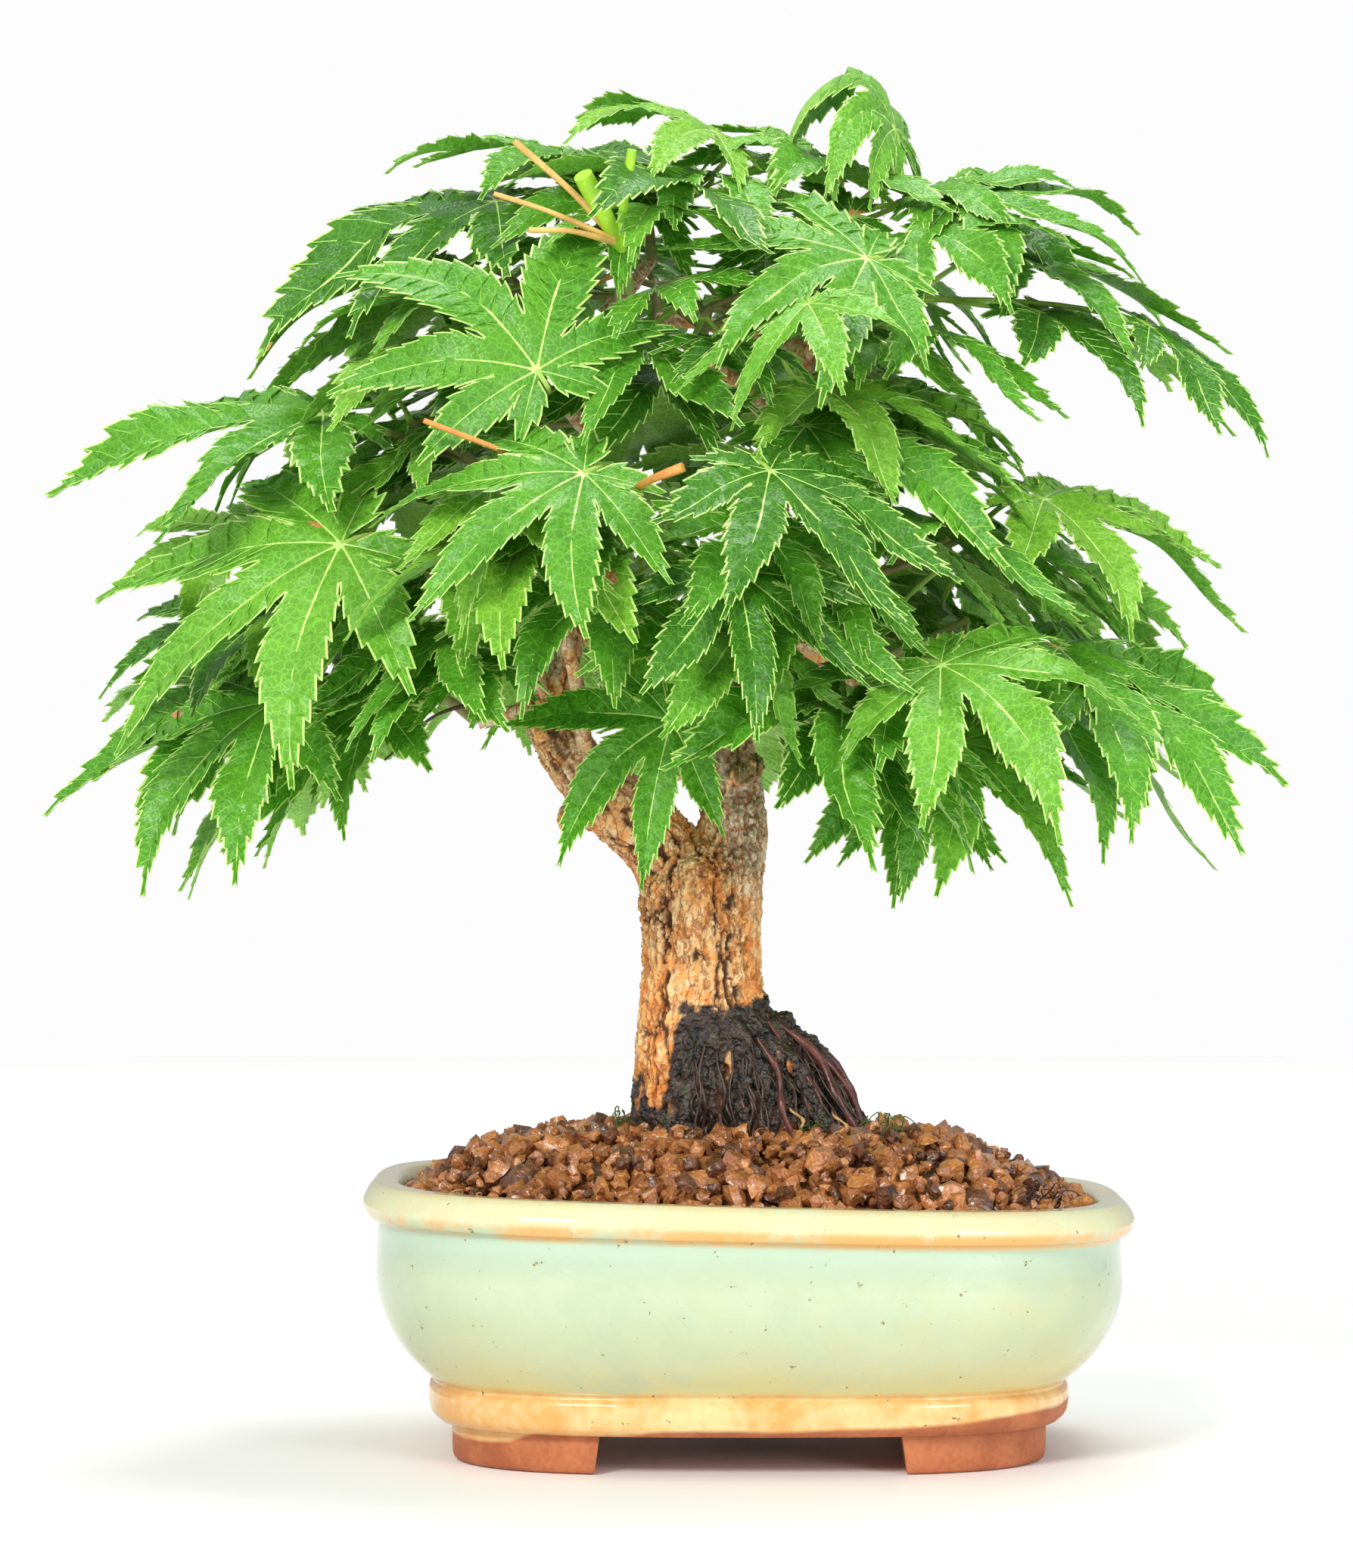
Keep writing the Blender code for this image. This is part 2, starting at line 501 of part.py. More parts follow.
# Each mass is one stem with its twigs and leaves, and keeps to a sector of the crown: (parent limb, where on it
# from 0 to 1, way round the crown in degrees, half its width, lowest and highest hub, leaves by rule, seed,
# leading leaves). A leading leaf is (hub, tip of its middle lobe, roll, and its sag if not the usual one).
# Way 0 is right, 90 back, 180 left.
MASSES = {
    "leaves_apex_right": ("riser_right", 0.98, 20, 34, 0.236, 0.250, 3, 11, (
        ((0.0286, -0.004, 0.2580), (0.0000, -0.010, 0.2650), -30, 2.6),
        ((0.0406, -0.012, 0.2440), (0.0740, -0.030, 0.2270), 24))),
    "leaves_top_centre": ("riser_left", 0.98, 262, 60, 0.238, 0.248, 4, 12, (
        ((-0.0105, -0.026, 0.2440), (-0.0280, -0.062, 0.2360), -20),
        ((-0.0050, -0.009, 0.2515), (-0.0430, -0.022, 0.2480), -32, 0.9))),
    "leaves_top_left": ("riser_left", 0.90, 182, 36, 0.226, 0.244, 4, 13, (
        ((-0.0490, -0.012, 0.2430), (-0.0985, -0.018, 0.2190), -18),)),
    "leaves_top_back": ("riser_right", 0.90, 95, 60, 0.226, 0.246, 6, 14, ()),
    "leaves_right_upper": ("riser_right", 0.80, 350, 28, 0.216, 0.240, 5, 15, (
        ((0.0565, -0.012, 0.2215), (0.1040, -0.018, 0.1920), 14),
        ((0.0515, 0.000, 0.2340), (0.0930, -0.004, 0.2130), 14))),
    "leaves_front_upper": ("riser_right", 0.72, 282, 36, 0.210, 0.240, 5, 16, (
        ((0.0230, -0.042, 0.2290), (-0.0120, -0.062, 0.2110), -44),
        ((0.0270, -0.020, 0.2470), (-0.0040, -0.040, 0.2390), -40),
        ((0.0140, -0.062, 0.2180), (0.0030, -0.082, 0.1920), 4))),
    "leaves_left_upper": ("riser_left", 0.72, 222, 28, 0.204, 0.230, 4, 17, (
        ((-0.0400, -0.052, 0.2070), (-0.0725, -0.040, 0.2310), -58),)),
    "leaves_left_mid": ("riser_left", 0.55, 184, 22, 0.190, 0.212, 5, 18, (
        ((-0.0820, -0.020, 0.2010), (-0.1360, -0.026, 0.1815), -22),)),
    "leaves_front_left": ("riser_left", 0.46, 245, 20, 0.180, 0.202, 3, 19, (
        ((-0.0310, -0.066, 0.1870), (-0.0610, -0.086, 0.1590), -34),
        ((-0.0480, -0.060, 0.1850), (-0.0290, -0.082, 0.1620), 30))),
    "leaves_front_mid": ("riser_right", 0.40, 288, 22, 0.178, 0.204, 4, 20, (
        ((0.0030, -0.074, 0.1870), (0.0230, -0.096, 0.1560), 10),)),
    "leaves_right_mid": ("riser_right", 0.46, 352, 28, 0.168, 0.190, 6, 21, (
        ((0.0570, -0.016, 0.1850), (0.0960, -0.024, 0.1600), 18),)),
    "leaves_back_upper": ("riser_left", 0.60, 118, 38, 0.196, 0.226, 6, 22, ()),
    "leaves_back_right_upper": ("riser_right", 0.58, 52, 32, 0.194, 0.226, 5, 42, ()),
    "leaves_left_low": ("bough_left", 0.76, 204, 20, 0.164, 0.186, 3, 24, (
        ((-0.0770, -0.044, 0.1750), (-0.1200, -0.056, 0.1375), -40),
        ((-0.0960, -0.004, 0.1790), (-0.1270, -0.008, 0.1650), -34))),
    "leaves_left_bottom": ("bough_left", 0.93, 186, 26, 0.144, 0.164, 4, 25, (
        ((-0.0930, -0.012, 0.1490), (-0.1370, -0.016, 0.1260), -30),
        ((-0.0900, -0.032, 0.1450), (-0.1210, -0.044, 0.1130), -26),
        ((-0.0720, -0.020, 0.1460), (-0.0990, -0.030, 0.1160), -20))),
    "leaves_front_low": ("bough_right", 0.90, 274, 18, 0.160, 0.178, 2, 26, (
        ((-0.0030, -0.066, 0.1690), (0.0020, -0.084, 0.1380), 4),)),
    "leaves_trunk_shoot": ("bough_right", 0.56, 264, 14, 0.140, 0.146, 0, 27, (
        ((-0.0150, -0.036, 0.1420), (-0.0400, -0.046, 0.1180), -66),)),
    "leaves_front_right": ("bough_right", 0.97, 312, 22, 0.144, 0.172, 4, 28, (
        ((0.0350, -0.056, 0.1520), (0.0600, -0.084, 0.1260), 26),
        ((0.0400, -0.024, 0.1380), (0.0620, -0.044, 0.1080), 22),
        ((0.0310, -0.010, 0.1380), (0.0290, -0.020, 0.1060), 0))),
    "leaves_right_low": ("riser_right", 0.22, 350, 26, 0.150, 0.174, 5, 29, (
        ((0.0590, -0.026, 0.1560), (0.1040, -0.038, 0.1205), 16),
        ((0.0570, -0.010, 0.1490), (0.0900, -0.018, 0.1130), 16))),
    "leaves_back_right_low": ("bough_right", 0.80, 40, 26, 0.146, 0.182, 6, 34, ()),
    "leaves_back_low": ("bough_right", 0.66, 92, 26, 0.146, 0.182, 6, 31, ()),
    "leaves_back_left_low": ("bough_left", 0.72, 140, 26, 0.146, 0.190, 6, 32, ()),
    "leaves_front_left_low": ("bough_left", 0.60, 236, 24, 0.160, 0.186, 4, 39, ()),
}
HUB_DEPTH = (0.60, 0.95)  # a rule leaf's hub lies this far out to the dome
LEAF_SIZES = (0.042, 0.054)
STEM_BASE, STEM_TIP = 0.46, 0.66  # how far out to the dome a mass's stem starts and ends
SHOOT_BASE, SHOOT_TIP = 0.20, 0.32  # the same for the lone shoot in front of the trunk
BRANCH_RADII = (0.0017, 0.0011)
STEM_RADII = (0.0011, 0.0008)
TRIES = 220
GOLDEN = 0.6180339887


def dome_point(way, height, share):
    """A point at a share of the way from the crown's middle line out to the dome of leaf hubs."""
    rise = min(max((height - CROWN_BASE) / CROWN_RISE, 0.0), 0.985)
    out = share * math.sqrt(1 - rise * rise)
    turn = math.radians(way)
    return np.array([CROWN_X + CROWN_HALF[0] * out * math.cos(turn), CROWN_HALF[1] * out * math.sin(turn), height])


def stem_line(row):
    """The middle line of a mass's stem: outwards towards the dome, and a little arched."""
    way, low, high, count = row[2], row[4], row[5], row[6]
    middle = (low + high) / 2
    near, far = (STEM_BASE, STEM_TIP) if count else (SHOOT_BASE, SHOOT_TIP)
    base, tip = dome_point(way, middle - 0.012, near), dome_point(way, middle - 0.004, far)
    return curve_through((base, base + (tip - base) * 0.5 + (0, 0, 0.002), tip), 4)


def stem_solid(line, grow=0.0):
    """The points and faces of a stem, grown by a margin all round if asked."""
    line = np.vstack([line[0] - unit(line[1] - line[0]) * grow, line[1:]])
    return loft(tube_rings(line, np.linspace(*STEM_RADII, 4) + grow, 4))


def limb_at(name, share):
    """A point on a limb's middle line."""
    return curve_through(LIMBS[name][1], 41)[round(share * 40)]


def tree_of(points, faces):
    return BVHTree.FromPolygons([Vector(p) for p in points], faces)


class Space:
    """What already stands in the crown, for the test of whether a new leaf or twig would touch it."""

    def __init__(self):
        self.low, self.high, self.trees, self.owners = [], [], [], []

    def add(self, points, faces, owner):
        self.low.append(np.min(points, axis=0))
        self.high.append(np.max(points, axis=0))
        self.trees.append(tree_of(points, faces))
        self.owners.append(owner)

    def is_clear(self, points, faces, leave_out=()):
        low, high = np.min(points, axis=0), np.max(points, axis=0)
        near = np.flatnonzero(((low < np.array(self.high)) & (high > np.array(self.low))).all(1))
        near = [i for i in near if self.owners[i] not in leave_out]
        if not near:
            return True
        mine = tree_of(points, faces)
        return not any(mine.overlap(self.trees[i]) for i in near)


def strayed(rng, leaf, attempt):
    """A leading leaf, moved further from its own place with each failed try."""
    hub, heading, pitch, roll, size, sag = leaf
    swing = attempt * 0.2
    moved = tuple(place + rng.uniform(-1, 1) * 0.00008 * attempt for place in hub)
    turned = [angle + rng.uniform(-swing, swing) for angle in (heading, pitch, roll)]
    return (moved, *turned, size * (1 - 0.0015 * attempt), sag)


def leaf_by_rule(rng, way, height, attempt):
    """A leaf that heads outwards near a place on the dome, drooping more the lower it stands, with its upper
    face turned out, or None if it hangs too low. With each failed try it is smaller and strays further."""
    shrink, loose = 1 - 0.0012 * attempt, 1 + 0.006 * attempt
    turn = way + rng.uniform(-12, 12) * loose
    hub = dome_point(turn, height + rng.uniform(-0.010, 0.010) * loose, rng.uniform(*HUB_DEPTH))
    swing = rng.uniform(-42, 42)
    pitch = np.interp(hub[2], (0.140, 0.215, 0.250), (-20, -12, 6)) + rng.uniform(-8, 8)
    roll = 38 * math.sin(math.radians(swing)) + rng.uniform(-8, 8)
    leaf = (tuple(hub), turn + swing, pitch, roll, rng.uniform(*LEAF_SIZES) * shrink, SAG)
    tips = leaf_tips(leaf)
    return None if (tips[:, 2] < np.interp(tips[:, 0], FLOOR_X, FLOOR_Z)).any() else leaf


def bends_gently(leaf, start, twig_way):
    """Whether the stalk turns off its twig, and into its blade, by less than about 85 degrees each."""
    run = unit(np.array(leaf[0]) - start)
    return run @ blade_frame(*leaf[1:4])[0] > 0.1 and run @ twig_way > 0.1


def stands_free(space, leaf, start, owner):
    """Whether the leaf, a little thickened, and its stalk touch nothing."""
    points, faces, _ = leaf_solid(leaf, 2.2)
    if not space.is_clear(points, faces):
        return False
    return space.is_clear(*free_stalk(start, leaf, STALK_RADIUS + GAP), leave_out=(owner,))


def free_stalk(start, leaf, radius):
    """The part of a leaf's stalk that stands free, between its twig and its blade."""
    line = stalk_line(start, leaf, 9)[[1, 4, 7]]
    return loft(tube_rings(line, [radius] * 3, 3))


class Mass:
    """One stem, the twigs on it, and what has been placed on them so far."""

    def __init__(self, space, name, row):
        self.space, self.name, self.row = space, name, row
        self.rng = random.Random(row[7])
        self.line = stem_line(row)
        stem = stem_solid(self.line)
        self.solids, self.leaves, self.twigs = [stem], [], 0
        space.add(*stem, name)

    def add_pair(self, aim, choices, suits=lambda leaf, start, twig_way: True):
        """A twig towards aim, and on it a leaf from each of the choices, each a function of the try's number,
        that suits its stalk's start and its twig."""
        space, name = self.space, self.name
        joint = self.line[3 - self.twigs % 3] + (self.line[0] - self.line[3]) * 0.05
        self.twigs += 1
        fork = joint + (aim - joint) * 0.4
        if not space.is_clear(*loft(tube_rings([joint, fork], [STALK_RADIUS + GAP] * 2, 3)), leave_out=(name,)):
            fork = joint
        twig_way = unit(aim - joint)
        kept = []
        for choose in choices:
            start = fork - (fork - joint) * 0.15 * len(kept)
            for attempt in range(TRIES):
                leaf = choose(attempt)
                if leaf and suits(leaf, start, twig_way) and stands_free(space, leaf, start, name):
                    kept.append((start, leaf))
                    space.add(*leaf_solid(leaf)[:2], name + "_leaf")
                    space.add(*free_stalk(start, leaf, STALK_RADIUS), name + "_leaf")
                    break
        if kept and fork is not joint:
            space.add(*loft(tube_rings([joint, fork], [STALK_RADIUS] * 2, 3)), name)
        for place, (start, leaf) in enumerate(kept):
            self.solids.append(leaf_with_stalk(start, leaf, None if place or fork is joint else joint))
            self.leaves.append(leaf)

    def add_leads(self):
        leads = [leaf_to(*lead) for lead in self.row[8]]
        if leads:
            aim = np.mean([leaf[0] for leaf in leads], axis=0)
            self.add_pair(aim, [lambda attempt, leaf=leaf: strayed(self.rng, leaf, attempt) for leaf in leads])

    def add_rule_leaves(self):
        way, half, low, high, count = self.row[2:7]
        pairs = math.ceil(count / 2)
        for k in range(pairs):
            turn = way + half * (2 * ((k + 1) * GOLDEN % 1.0) - 1)
            height = high - (high - low) * (k + 0.5) / pairs
            choices = [lambda attempt: leaf_by_rule(self.rng, turn, height, attempt)] * min(2, count - 2 * k)
            self.add_pair(dome_point(turn, height, 0.95), choices, bends_gently)


def join_mass(name, solids, leaf_green):
    """One Boolean union of all of a mass's pieces."""
    pieces = [add_mesh(f"{name}_{i}", *solid) for i, solid in enumerate(solids)]
    pieces[0].name = name
    pieces[0].data.materials.append(leaf_green)
    return keep_largest(combine(pieces[0], pieces[1:], "UNION", "MANIFOLD"))


def branch_points(row):
    """The branch from its parent limb to the foot of a mass's stem, leaving upwards and bowing over."""
    start = limb_at(*row[:2])
    stem = stem_line(row)
    run = unit(stem[-1] - stem[0])
    end = stem[0] - unit(stem[1] - stem[0]) * GAP
    reach = np.linalg.norm(end - start)
    return start, start + (end - start) * 0.5 + (0, 0, 0.06 * reach) - run * 0.04 * reach, end


def keep_largest(thing):
    """Merges the points that a cut or a union leaves all but together, and drops its loose scraps. Faces are
    split into triangles first, as a face with a neck of no width can hold a scrap on."""
    shape = bmesh.new()
    shape.from_mesh(thing.data)
    bmesh.ops.triangulate(shape, faces=shape.faces)
    bmesh.ops.remove_doubles(shape, verts=shape.verts, dist=MERGE)
    left, pieces = set(shape.faces), []
    while left:
        ahead, piece = [left.pop()], []
        while ahead:
            face = ahead.pop()
            piece.append(face)
            near = {other for edge in face.edges if len(edge.link_faces) == 2 for other in edge.link_faces} & left
            left -= near
            ahead.extend(near)
        pieces.append(piece)
    pieces.sort(key=len)
    scraps = [face for piece in pieces[:-1] for face in piece]
    bmesh.ops.delete(shape, geom=scraps, context="FACES")
    shape.to_mesh(thing.data)
    shape.free()
    return thing


def build():
    clear_scene()
    glaze = material("glaze", (0.66, 0.78, 0.58), 0.12)
    grit = material("grit", (0.20, 0.07, 0.03), 0.55)
    bark = material("bark", (0.55, 0.32, 0.15), 0.85)
    leaf_green = material("leaf_green", (0.10, 0.33, 0.05), 0.45)
    things = [make_pot(glaze), make_soil(grit), make_trunk(bark)]
    things += make_limbs(bark)
    space = Space()
    for name, (_, points, start, end) in LIMBS.items():
        line, radii = limb_line(points, start, end, 9)
        space.add(*loft(tube_rings(line, radii + GAP, LIMB_SIDES[name])), name)
    space.add(*loft([trunk_ring(*row, grow=GAP) for row in TRUNK]), "trunk")
    for name, row in MASSES.items():
        branch = name.replace("leaves", "branch")
        line, radii = curve_through(branch_points(row), 4), np.linspace(*BRANCH_RADII, 4)
        solid = add_mesh(branch, *loft(tube_rings(line, radii, 4)), bark)
        space.add(*loft(tube_rings(line[1:], radii[1:] + GAP, 4)), branch)
        stem = add_mesh("stem", *stem_solid(stem_line(row), GAP))
        things.append(keep_largest(combine(solid, [grown_limb(row[0]), stem], "DIFFERENCE")))
    masses = [Mass(space, name, row) for name, row in MASSES.items()]
    for mass in masses:
        mass.add_leads()
    for mass in masses:
        mass.add_rule_leaves()
        things.append(join_mass(mass.name, mass.solids, leaf_green))
    settle_frame(things)
    return things, {mass.name: mass.leaves for mass in masses}


def settle_frame(things):
    """Moves everything so that the origin is the middle of the footprint, on the ground."""
    corners = np.array([v.co for thing in things for v in thing.data.vertices])
    middle = (corners.min(0) + corners.max(0)) / 2
    for thing in things:
        thing.data.transform(Matrix.Translation((-middle[0], -middle[1], 0.0)))


THINGS, GROWN = build()
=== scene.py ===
"""A Japanese maple bonsai in its glazed pot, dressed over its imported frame: lobed and toothed leaves on their
stalks, twigs and branches, a trunk with fissured bark, a glazed pot, and a bed of fired-clay grains.

Shapes are laid out round the middle of the pot, with the ground at z = 0 and the front of the tree at -Y, and
are moved to the frame's pot as they are made. Metres, +Z up.
"""

import math
import random
from collections import namedtuple
from itertools import product

import bpy
import numpy as np
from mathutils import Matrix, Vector
from mathutils.bvhtree import BVHTree


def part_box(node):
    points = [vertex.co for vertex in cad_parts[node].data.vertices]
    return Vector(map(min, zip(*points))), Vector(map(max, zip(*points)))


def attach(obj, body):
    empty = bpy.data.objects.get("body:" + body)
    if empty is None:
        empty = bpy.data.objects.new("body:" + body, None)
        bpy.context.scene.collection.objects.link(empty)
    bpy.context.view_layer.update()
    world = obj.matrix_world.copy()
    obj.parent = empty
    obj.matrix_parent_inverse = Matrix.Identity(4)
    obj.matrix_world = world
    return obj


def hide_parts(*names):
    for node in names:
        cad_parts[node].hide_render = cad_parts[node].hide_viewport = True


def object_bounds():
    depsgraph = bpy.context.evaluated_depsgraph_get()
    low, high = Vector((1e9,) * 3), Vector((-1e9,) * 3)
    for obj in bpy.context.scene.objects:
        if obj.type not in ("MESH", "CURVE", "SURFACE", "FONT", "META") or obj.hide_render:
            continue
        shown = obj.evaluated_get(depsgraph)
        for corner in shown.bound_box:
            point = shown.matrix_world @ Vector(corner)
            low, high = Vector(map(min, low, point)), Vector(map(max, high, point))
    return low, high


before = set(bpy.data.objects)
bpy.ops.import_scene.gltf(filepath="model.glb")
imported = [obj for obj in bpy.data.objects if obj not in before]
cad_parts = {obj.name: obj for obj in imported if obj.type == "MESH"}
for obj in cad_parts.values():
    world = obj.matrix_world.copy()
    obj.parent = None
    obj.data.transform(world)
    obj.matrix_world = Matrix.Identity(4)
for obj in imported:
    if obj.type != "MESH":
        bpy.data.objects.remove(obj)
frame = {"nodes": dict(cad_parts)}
CAD_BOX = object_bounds()
POT_LOW, POT_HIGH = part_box("pot")
MOVE = np.array([(POT_LOW.x + POT_HIGH.x) / 2, (POT_LOW.y + POT_HIGH.y) / 2, 0.0])  # from the pot's middle

# ---------- sizes shared with the solids

GAP = 0.0003  # between neighbouring solids
RIM_HALF = (0.075, 0.06)  # half the pot's width and depth over its lip
RIM_HEIGHT = 0.0515
RIM_DIP = 0.026  # how steeply the rim falls to the right
PLAN_POWER = 3.2  # of the superellipse that the pot follows, seen from above
WALL_FLOOR = 0.0125  # the height of the pot's inner floor
SEAT_HEIGHT = 0.0612  # the height of the heaped soil under the trunk
TRUNK_X = -0.0095
# the dome that the leaves' hubs keep to: its middle line, foot, height, and half its width and depth
CROWN_X = -0.0155
CROWN_BASE = 0.14
CROWN_RISE = 0.118
CROWN_HALF = (0.082, 0.07)
# the lowest that a lobe's tip may hang, as heights at places from left to right
FLOOR_X = (-0.09, -0.078, -0.032, -0.027, 0.012, 0.03)
FLOOR_Z = (0.1045, 0.134, 0.134, 0.117, 0.117, 0.1045)

# ---------- small tools


def add_piece(name, points, faces, finishes, slot, stands_for=(), kinds=None, marks=None, sharp=None):
    """A named piece at the origin. faces is a list of arrays of corner numbers, all of one length in each array;
    kinds gives each face's finish; marks are named numbers on the points; sharp is the angle of a hard edge."""
    points = np.asarray(points, np.float32) + MOVE.astype(np.float32)
    sizes = np.concatenate([np.full(len(group), group.shape[1]) for group in faces])
    corners = np.concatenate([group.ravel() for group in faces])
    mesh = bpy.data.meshes.new(name)
    mesh.vertices.add(len(points))
    mesh.vertices.foreach_set("co", points.ravel())
    mesh.loops.add(len(corners))
    mesh.loops.foreach_set("vertex_index", corners.astype(np.int32))
    mesh.polygons.add(len(sizes))
    mesh.polygons.foreach_set("loop_start", (np.cumsum(sizes) - sizes).astype(np.int32))
    if kinds is not None:
        mesh.polygons.foreach_set("material_index", np.asarray(kinds, np.int32))
    mesh.update(calc_edges=True)
    mesh.shade_smooth()
    if sharp is not None:
        mesh.set_sharp_from_angle(angle=math.radians(sharp))
    for mark, values in (marks or {}).items():
        mesh.attributes.new(mark, "FLOAT", "POINT").data.foreach_set("value", np.asarray(values, np.float32))
    for finish in finishes:
        mesh.materials.append(finish)
    piece = bpy.data.objects.new(name, mesh)
    bpy.context.scene.collection.objects.link(piece)
    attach(piece, "root")
    if stands_for:
        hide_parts(*stands_for)


def gather(parts):
    """Many (points, faces) as one: every part's corner numbers move up by the points before it."""
    points = np.concatenate([part[0] for part in parts])
    starts = np.cumsum([0] + [len(part[0]) for part in parts[:-1]])
    widths = sorted({group.shape[1] for part in parts for group in part[1]})
    faces = [np.concatenate([group + start for part, start in zip(parts, starts) for group in part[1]
                             if group.shape[1] == width]) for width in widths]
    return points, faces


def grid_faces(rows, around, closed=True):
    """Quads between rows of points, each row running once round if closed."""
    row = np.arange(rows - 1)[:, None] * around
    i = np.arange(around if closed else around - 1)[None, :]
    j = (i + 1) % around
    return np.stack([row + i, row + j, row + around + j, row + around + i], axis=-1).reshape(-1, 4)


def closed_rings(rings):
    """A closed skin through rings (rows, around, 3), each end closed by a fan round its middle."""
    rows, around = rings.shape[:2]
    ends = np.array([rings[0].mean(0), rings[-1].mean(0)])
    count = rows * around
    i = np.arange(around)
    j = (i + 1) % around
    foot = np.stack([np.full(around, count), j, i], axis=1)
    head = np.stack([np.full(around, count + 1), count - around + i, count - around + j], axis=1)
    return np.vstack([rings.reshape(-1, 3), ends]), [np.vstack([foot, head]), grid_faces(rows, around)]


def lattice(cell, seed):
    """A fixed number from 0 to 1 at each whole-numbered place: the fraction of a large sine."""
    wave = np.sin(cell @ np.array([127.1, 311.7, 74.7]) + seed * 53.3) * 43758.5453
    return wave - np.floor(wave)


def rolling(place, seed=0):
    """Smooth noise from 0 to 1: the lattice's numbers, blended between the eight corners round each place."""
    base = np.floor(place)
    part = place - base
    part = part * part * (3 - 2 * part)
    total = np.zeros(len(place))
    for corner in product((0, 1), repeat=3):
        share = np.prod(np.where(np.array(corner) == 1, part, 1 - part), axis=1)
        total += share * lattice(base + corner, seed)
    return total


def rugged(place, seed=0, octaves=3):
    """Noise about 0 with finer layers, each twice as fine and half as strong as the one before."""
    return sum((rolling(place * 2.0**k + 7.3 * k, seed + k) - 0.5) * 0.5**k for k in range(octaves))


def plates(place, seed=0):
    """Cells round scattered middles: how far each place lies from the crack between its two nearest, and a number
    from 0 to 1 that belongs to its own cell."""
    base = np.floor(place)
    first, second = np.full(len(place), 9.0), np.full(len(place), 9.0)
    own = np.zeros(len(place))
    for step in product((-1, 0, 1), repeat=3):
        cell = base + step
        middle = cell + np.stack([lattice(cell, seed + k) for k in (1, 2, 3)], axis=1)
        far = np.linalg.norm(place - middle, axis=1)
        nearer = far < first
        second = np.where(nearer, first, np.minimum(second, far))
        own = np.where(nearer, lattice(cell, seed + 9), own)
        first = np.minimum(first, far)
    return second - first, own


def ease(values, low, high):
    """0 below low, 1 above high, and a smooth rise between."""
    t = np.clip((values - low) / (high - low), 0, 1)
    return t * t * (3 - 2 * t)


def loft(rings):
    """Points and faces of a closed skin through rings of equal count, each turning anticlockwise seen
    from the last ring, with both ends capped."""
    rings = np.asarray(rings, float)
    rows, around = rings.shape[:2]
    caps = [list(reversed(range(around))), list(range((rows - 1) * around, rows * around))]
    return rings.reshape(-1, 3), grid_faces(rows, around).tolist() + caps


def unit(vector):
    """Each vector divided by its own length."""
    vector = np.asarray(vector, float)
    return vector / np.linalg.norm(vector, axis=-1, keepdims=True)


def curve_through(points, count):
    """count points evenly spread along a smooth Catmull-Rom curve through the given points."""
    points = np.asarray(points, float)
    ends = np.vstack([2 * points[0] - points[1], points, 2 * points[-1] - points[-2]])
    places = np.linspace(0, len(points) - 1, count)
    span = np.minimum(places.astype(int), len(points) - 2)
    t = (places - span)[:, None]
    a, b, c, d = (ends[span + k] for k in range(4))
    return 0.5 * (2 * b + (c - a) * t + (2 * a - 5 * b + 4 * c - d) * t**2 + (3 * b - a - 3 * c + d) * t**3)


def tube_rings(line, radii, sides):
    """Rings of a round limb along a line, each square to it, turned as little as possible."""
    line = np.asarray(line, float)
    along = unit(np.gradient(line, axis=0))
    side = unit(np.cross(along[0], (0.31, 0.92, 0.24)))
    rings = []
    for point, radius, way in zip(line, radii, along):
        side = unit(side - way * (side @ way))
        other = np.cross(way, side)
        turn = np.linspace(0, 2 * math.pi, sides, endpoint=False)
        rings.append(point + radius * (np.outer(np.cos(turn), side) + np.outer(np.sin(turn), other)))
    return np.array(rings)


# ---------- trunk and limbs, as the solids have them

# (height, radius, how far the root flare runs out to the right)
TRUNK = (
    (SEAT_HEIGHT + GAP, 0.0142, 0.0186), (0.066, 0.0136, 0.0168), (0.071, 0.0132, 0.0145),
    (0.0763, 0.0129, 0.0112), (0.081, 0.0126, 0.0072), (0.0845, 0.0123, 0.0024), (0.09, 0.0119, 0.0),
    (0.099, 0.0114, 0.0), (0.106, 0.0117, 0.0), (0.111, 0.0119, 0.0), (0.115, 0.0106, 0.0),
    (0.118, 0.0078, 0.0), (0.1196, 0.004, 0.0),
)
TRUNK_SIDES = 18
TRUNK_DEPTH = 0.88  # the trunk is a little flatter front to back
FLARE_POWER = 2.2  # of the cosine that the flare follows round the foot
# surface roots: (way round the foot in degrees, start height, radius)
ROOTS = ((-58, 0.08, 0.0019), (-30, 0.0835, 0.0022), (-6, 0.085, 0.0024), (20, 0.0835, 0.0022),
         (48, 0.08, 0.0019))

# name: (parent, points along the middle, radius at its start and end)
LIMBS = {
    "bough_left": ("trunk", ((-0.0125, 0.0, 0.1105), (-0.0183, -0.001, 0.1192), (-0.0277, -0.003, 0.1275),
                             (-0.0368, -0.004, 0.1385), (-0.0412, -0.004, 0.148)), 0.0086, 0.0044),
    "bough_right": ("trunk", ((-0.0048, 0.001, 0.108), (-0.003, 0.002, 0.122), (-0.0038, 0.004, 0.14),
                              (-0.005, 0.006, 0.154)), 0.008, 0.0036),
    "riser_left": ("bough_left", ((-0.0395, -0.004, 0.144), (-0.035, -0.003, 0.156), (-0.033, -0.002, 0.176),
                                  (-0.03, 0.001, 0.2), (-0.0262, 0.0, 0.225)), 0.0031, 0.0017),
    "riser_right": ("bough_right", ((-0.0048, 0.005, 0.15), (0.001, 0.007, 0.164), (0.0045, 0.008, 0.178),
                                    (0.009, 0.007, 0.2), (0.015, 0.004, 0.225)), 0.003, 0.0016),
}
ROOT_SINK = 0.0004  # a surface root's middle line lies this far inside the flare
